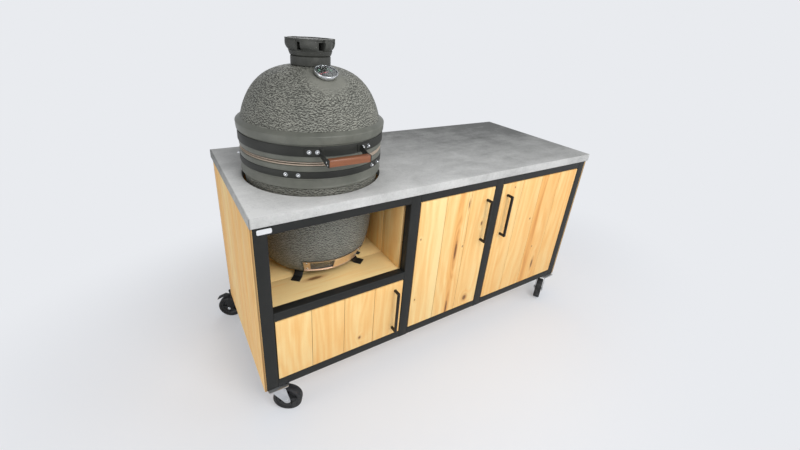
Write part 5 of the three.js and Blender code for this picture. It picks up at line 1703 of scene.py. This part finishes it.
def caster_fork(bm):
    low, corner = -crown_top - crown_sheet, math.degrees(math.asin(leg_outer / crown_radius))
    ends = [point for way in (0, 180) for point in arc(0, 0, crown_radius, way - corner, way + corner, 12)]
    prism(bm, ends, UP, low, -crown_top)
    leg = [
        (-0.024, -crown_top), (-0.024, -crown_top - boss_radius),
        *arc(trail, -wheel_drop, boss_radius, -150, 15, 12), (0.046, -crown_top),
    ]
    boss_rise = 0.0006
    for y in (-leg_outer, leg_inner):
        prism(bm, leg, THROUGH, y, y + leg_sheet)
        boss_start, boss_end = y - boss_rise, y + leg_sheet + boss_rise
        rod(bm, boss_radius * 0.72, (trail, boss_start, -wheel_drop), (trail, boss_end, -wheel_drop), 32)
    ease(bm, 0.0007, limit=50)


def caster_axle(bm):
    reach = leg_outer + 0.005
    rod(bm, axle_radius, (trail, -reach + 0.001, -wheel_drop), (trail, reach - 0.001, -wheel_drop))
    for side in (-1, 1):
        inner_face = Vector((trail, side * leg_outer, -wheel_drop))
        made = rod(bm, 0.009, inner_face, inner_face + Vector((0, side * 0.0036, 0)), 6)
        ease(bm, 0.0006, verts=made, limit=50)
        button(bm, inner_face + Vector((0, side * 0.0034, 0)), (0, side, 0), 0.0058, 0.0016)


def caster_wheel(bm):
    half, web, spoke_count = tyre_width / 2, 0.004, 5
    rim = wheel_radius - tyre_thickness - seat
    lathe(bm, mirrored([
        (axle_radius + seat, -half), (0.0135, -half), (0.015, -half + 0.0015), (0.0165, -web), (0.024, -web),
        (rim - 0.011, -web), (rim - 0.007, tyre_shoulder - half + 0.003),
        (rim - 0.002, tyre_shoulder - half), (rim, tyre_shoulder - half),
    ]), sides=72, closed=True)
    for i in range(spoke_count):
        made = block(bm, (0.014, -0.0022, -half + 0.005), (rim - 0.005, 0.0022, half - 0.005))
        turned(bm, made, 360 / spoke_count * i, origin)
        soften(bm, inner_edges(made), 0.0009)
    bmesh.ops.transform(bm, matrix=laid, verts=bm.verts[:])


def caster_tyre(bm):
    half, bead, rounding = tyre_width / 2, wheel_radius - tyre_thickness, 0.007
    shoulder_arc = arc(wheel_radius - rounding, half - rounding, rounding, 14, 90, 7)
    lathe(bm, mirrored([
        (bead, tyre_shoulder - half), (bead + 0.0015, tyre_shoulder - half - 0.0022),
        (bead + 0.0045, -half + 0.0012), *[(radius, -side) for radius, side in reversed(shoulder_arc)],
        (wheel_radius, -half * 0.42),
    ]), closed=True)
    bmesh.ops.transform(bm, matrix=laid, verts=bm.verts[:])


def brake_pedal(bm):
    sheet, half, rib_count, rib_inset = 0.003, 0.016, 5, 0.004
    path = [(0.0375, -0.0250), (0.0745, -0.0185), (0.1119, -0.04145)]
    made = prism(bm, folded(path, sheet, 0.006), THROUGH, -half, half)
    ease(bm, 0.0009, verts=made)
    for radius, reach, sides in ((0.0044, half, 24), (0.0025, leg_inner - seat, 16)):
        rod(bm, radius, (0.040, -reach, -0.0240), (0.040, reach, -0.0240), sides)
    step_in, step_out = Vector((0.0790, 0, -0.0197)), Vector((0.1090, 0, -0.0381))
    rib_reach = Vector((0, half - rib_inset, 0))
    for i in range(rib_count):
        middle = step_in.lerp(step_out, i / (rib_count - 1))
        rod(bm, 0.0011, middle - rib_reach, middle + rib_reach, 10)


tread_angles = {"front_left": -30, "front_right": 210, "rear_left": 150, "rear_right": 30}
for corner, angle in tread_angles.items():
    low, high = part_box(f"caster_plate_{corner}")
    mount = Matrix.Translation(((low.x + high.x) / 2, (low.y + high.y) / 2, high.z))
    swivel = mount @ Matrix.Rotation(math.radians(angle), 4, "Z")
    is_rear = corner.startswith("rear")
    metal, slot = (caster_black, "caster_black") if is_rear else (zinc, "zinc")
    on_swivel, on_wheel, on_pedal = (f"{moving}_{corner}" for moving in ("swivel", "wheel", "pedal"))
    rows = [
        ("plate", caster_plate, mount, "table", metal, slot, ["caster_plate"]),
        ("bolts", caster_bolts, mount, "table", zinc, "zinc", []),
        ("fork", caster_fork, swivel, on_swivel, metal, slot, ["caster_fork"]),
        ("axle", caster_axle, swivel, on_swivel, zinc, "zinc", []),
        ("hub", caster_wheel, swivel, on_wheel, wheel_hub, "wheel_hub", ["caster_wheel"]),
        ("rubber", caster_tyre, swivel, on_wheel, tyre, "tyre", ["caster_tyre"]),
    ]
    if is_rear:
        rows.append(("brake", brake_pedal, swivel, on_pedal, caster_black, "caster_black", ["brake_pedal"]))
    for part, make, matrix, body, finish, slot_name, nodes in rows:
        bm = bmesh.new()
        make(bm)
        stands_for = [f"{node}_{corner}" for node in nodes]
        placed(bm, matrix, f"caster_{part}_of_{corner}", body, finish, slot_name, stands_for)
print("casters", len(tread_angles))


# %% [markdown]
# A small bare plate with rounded corners is stuck on the front rail at the left.

# %% White plate
plate_bm = bmesh.new()
label_left, label_foot, label_width, label_height = left + 0.014, top - 0.032, 0.052, 0.020
label_sheet = 0.0008
label_high = (label_left + label_width, front, label_foot + label_height)
made = block(plate_bm, (label_left, front - label_sheet, label_foot), label_high)
upright = [e for e in inner_edges(made) if abs(e.verts[0].co.y - e.verts[1].co.y) > label_sheet / 2]
soften(plate_bm, upright, 0.0055, 5)
piece(plate_bm, "rail_plate", "table", white_plate, "zinc")
print("plate fitted")
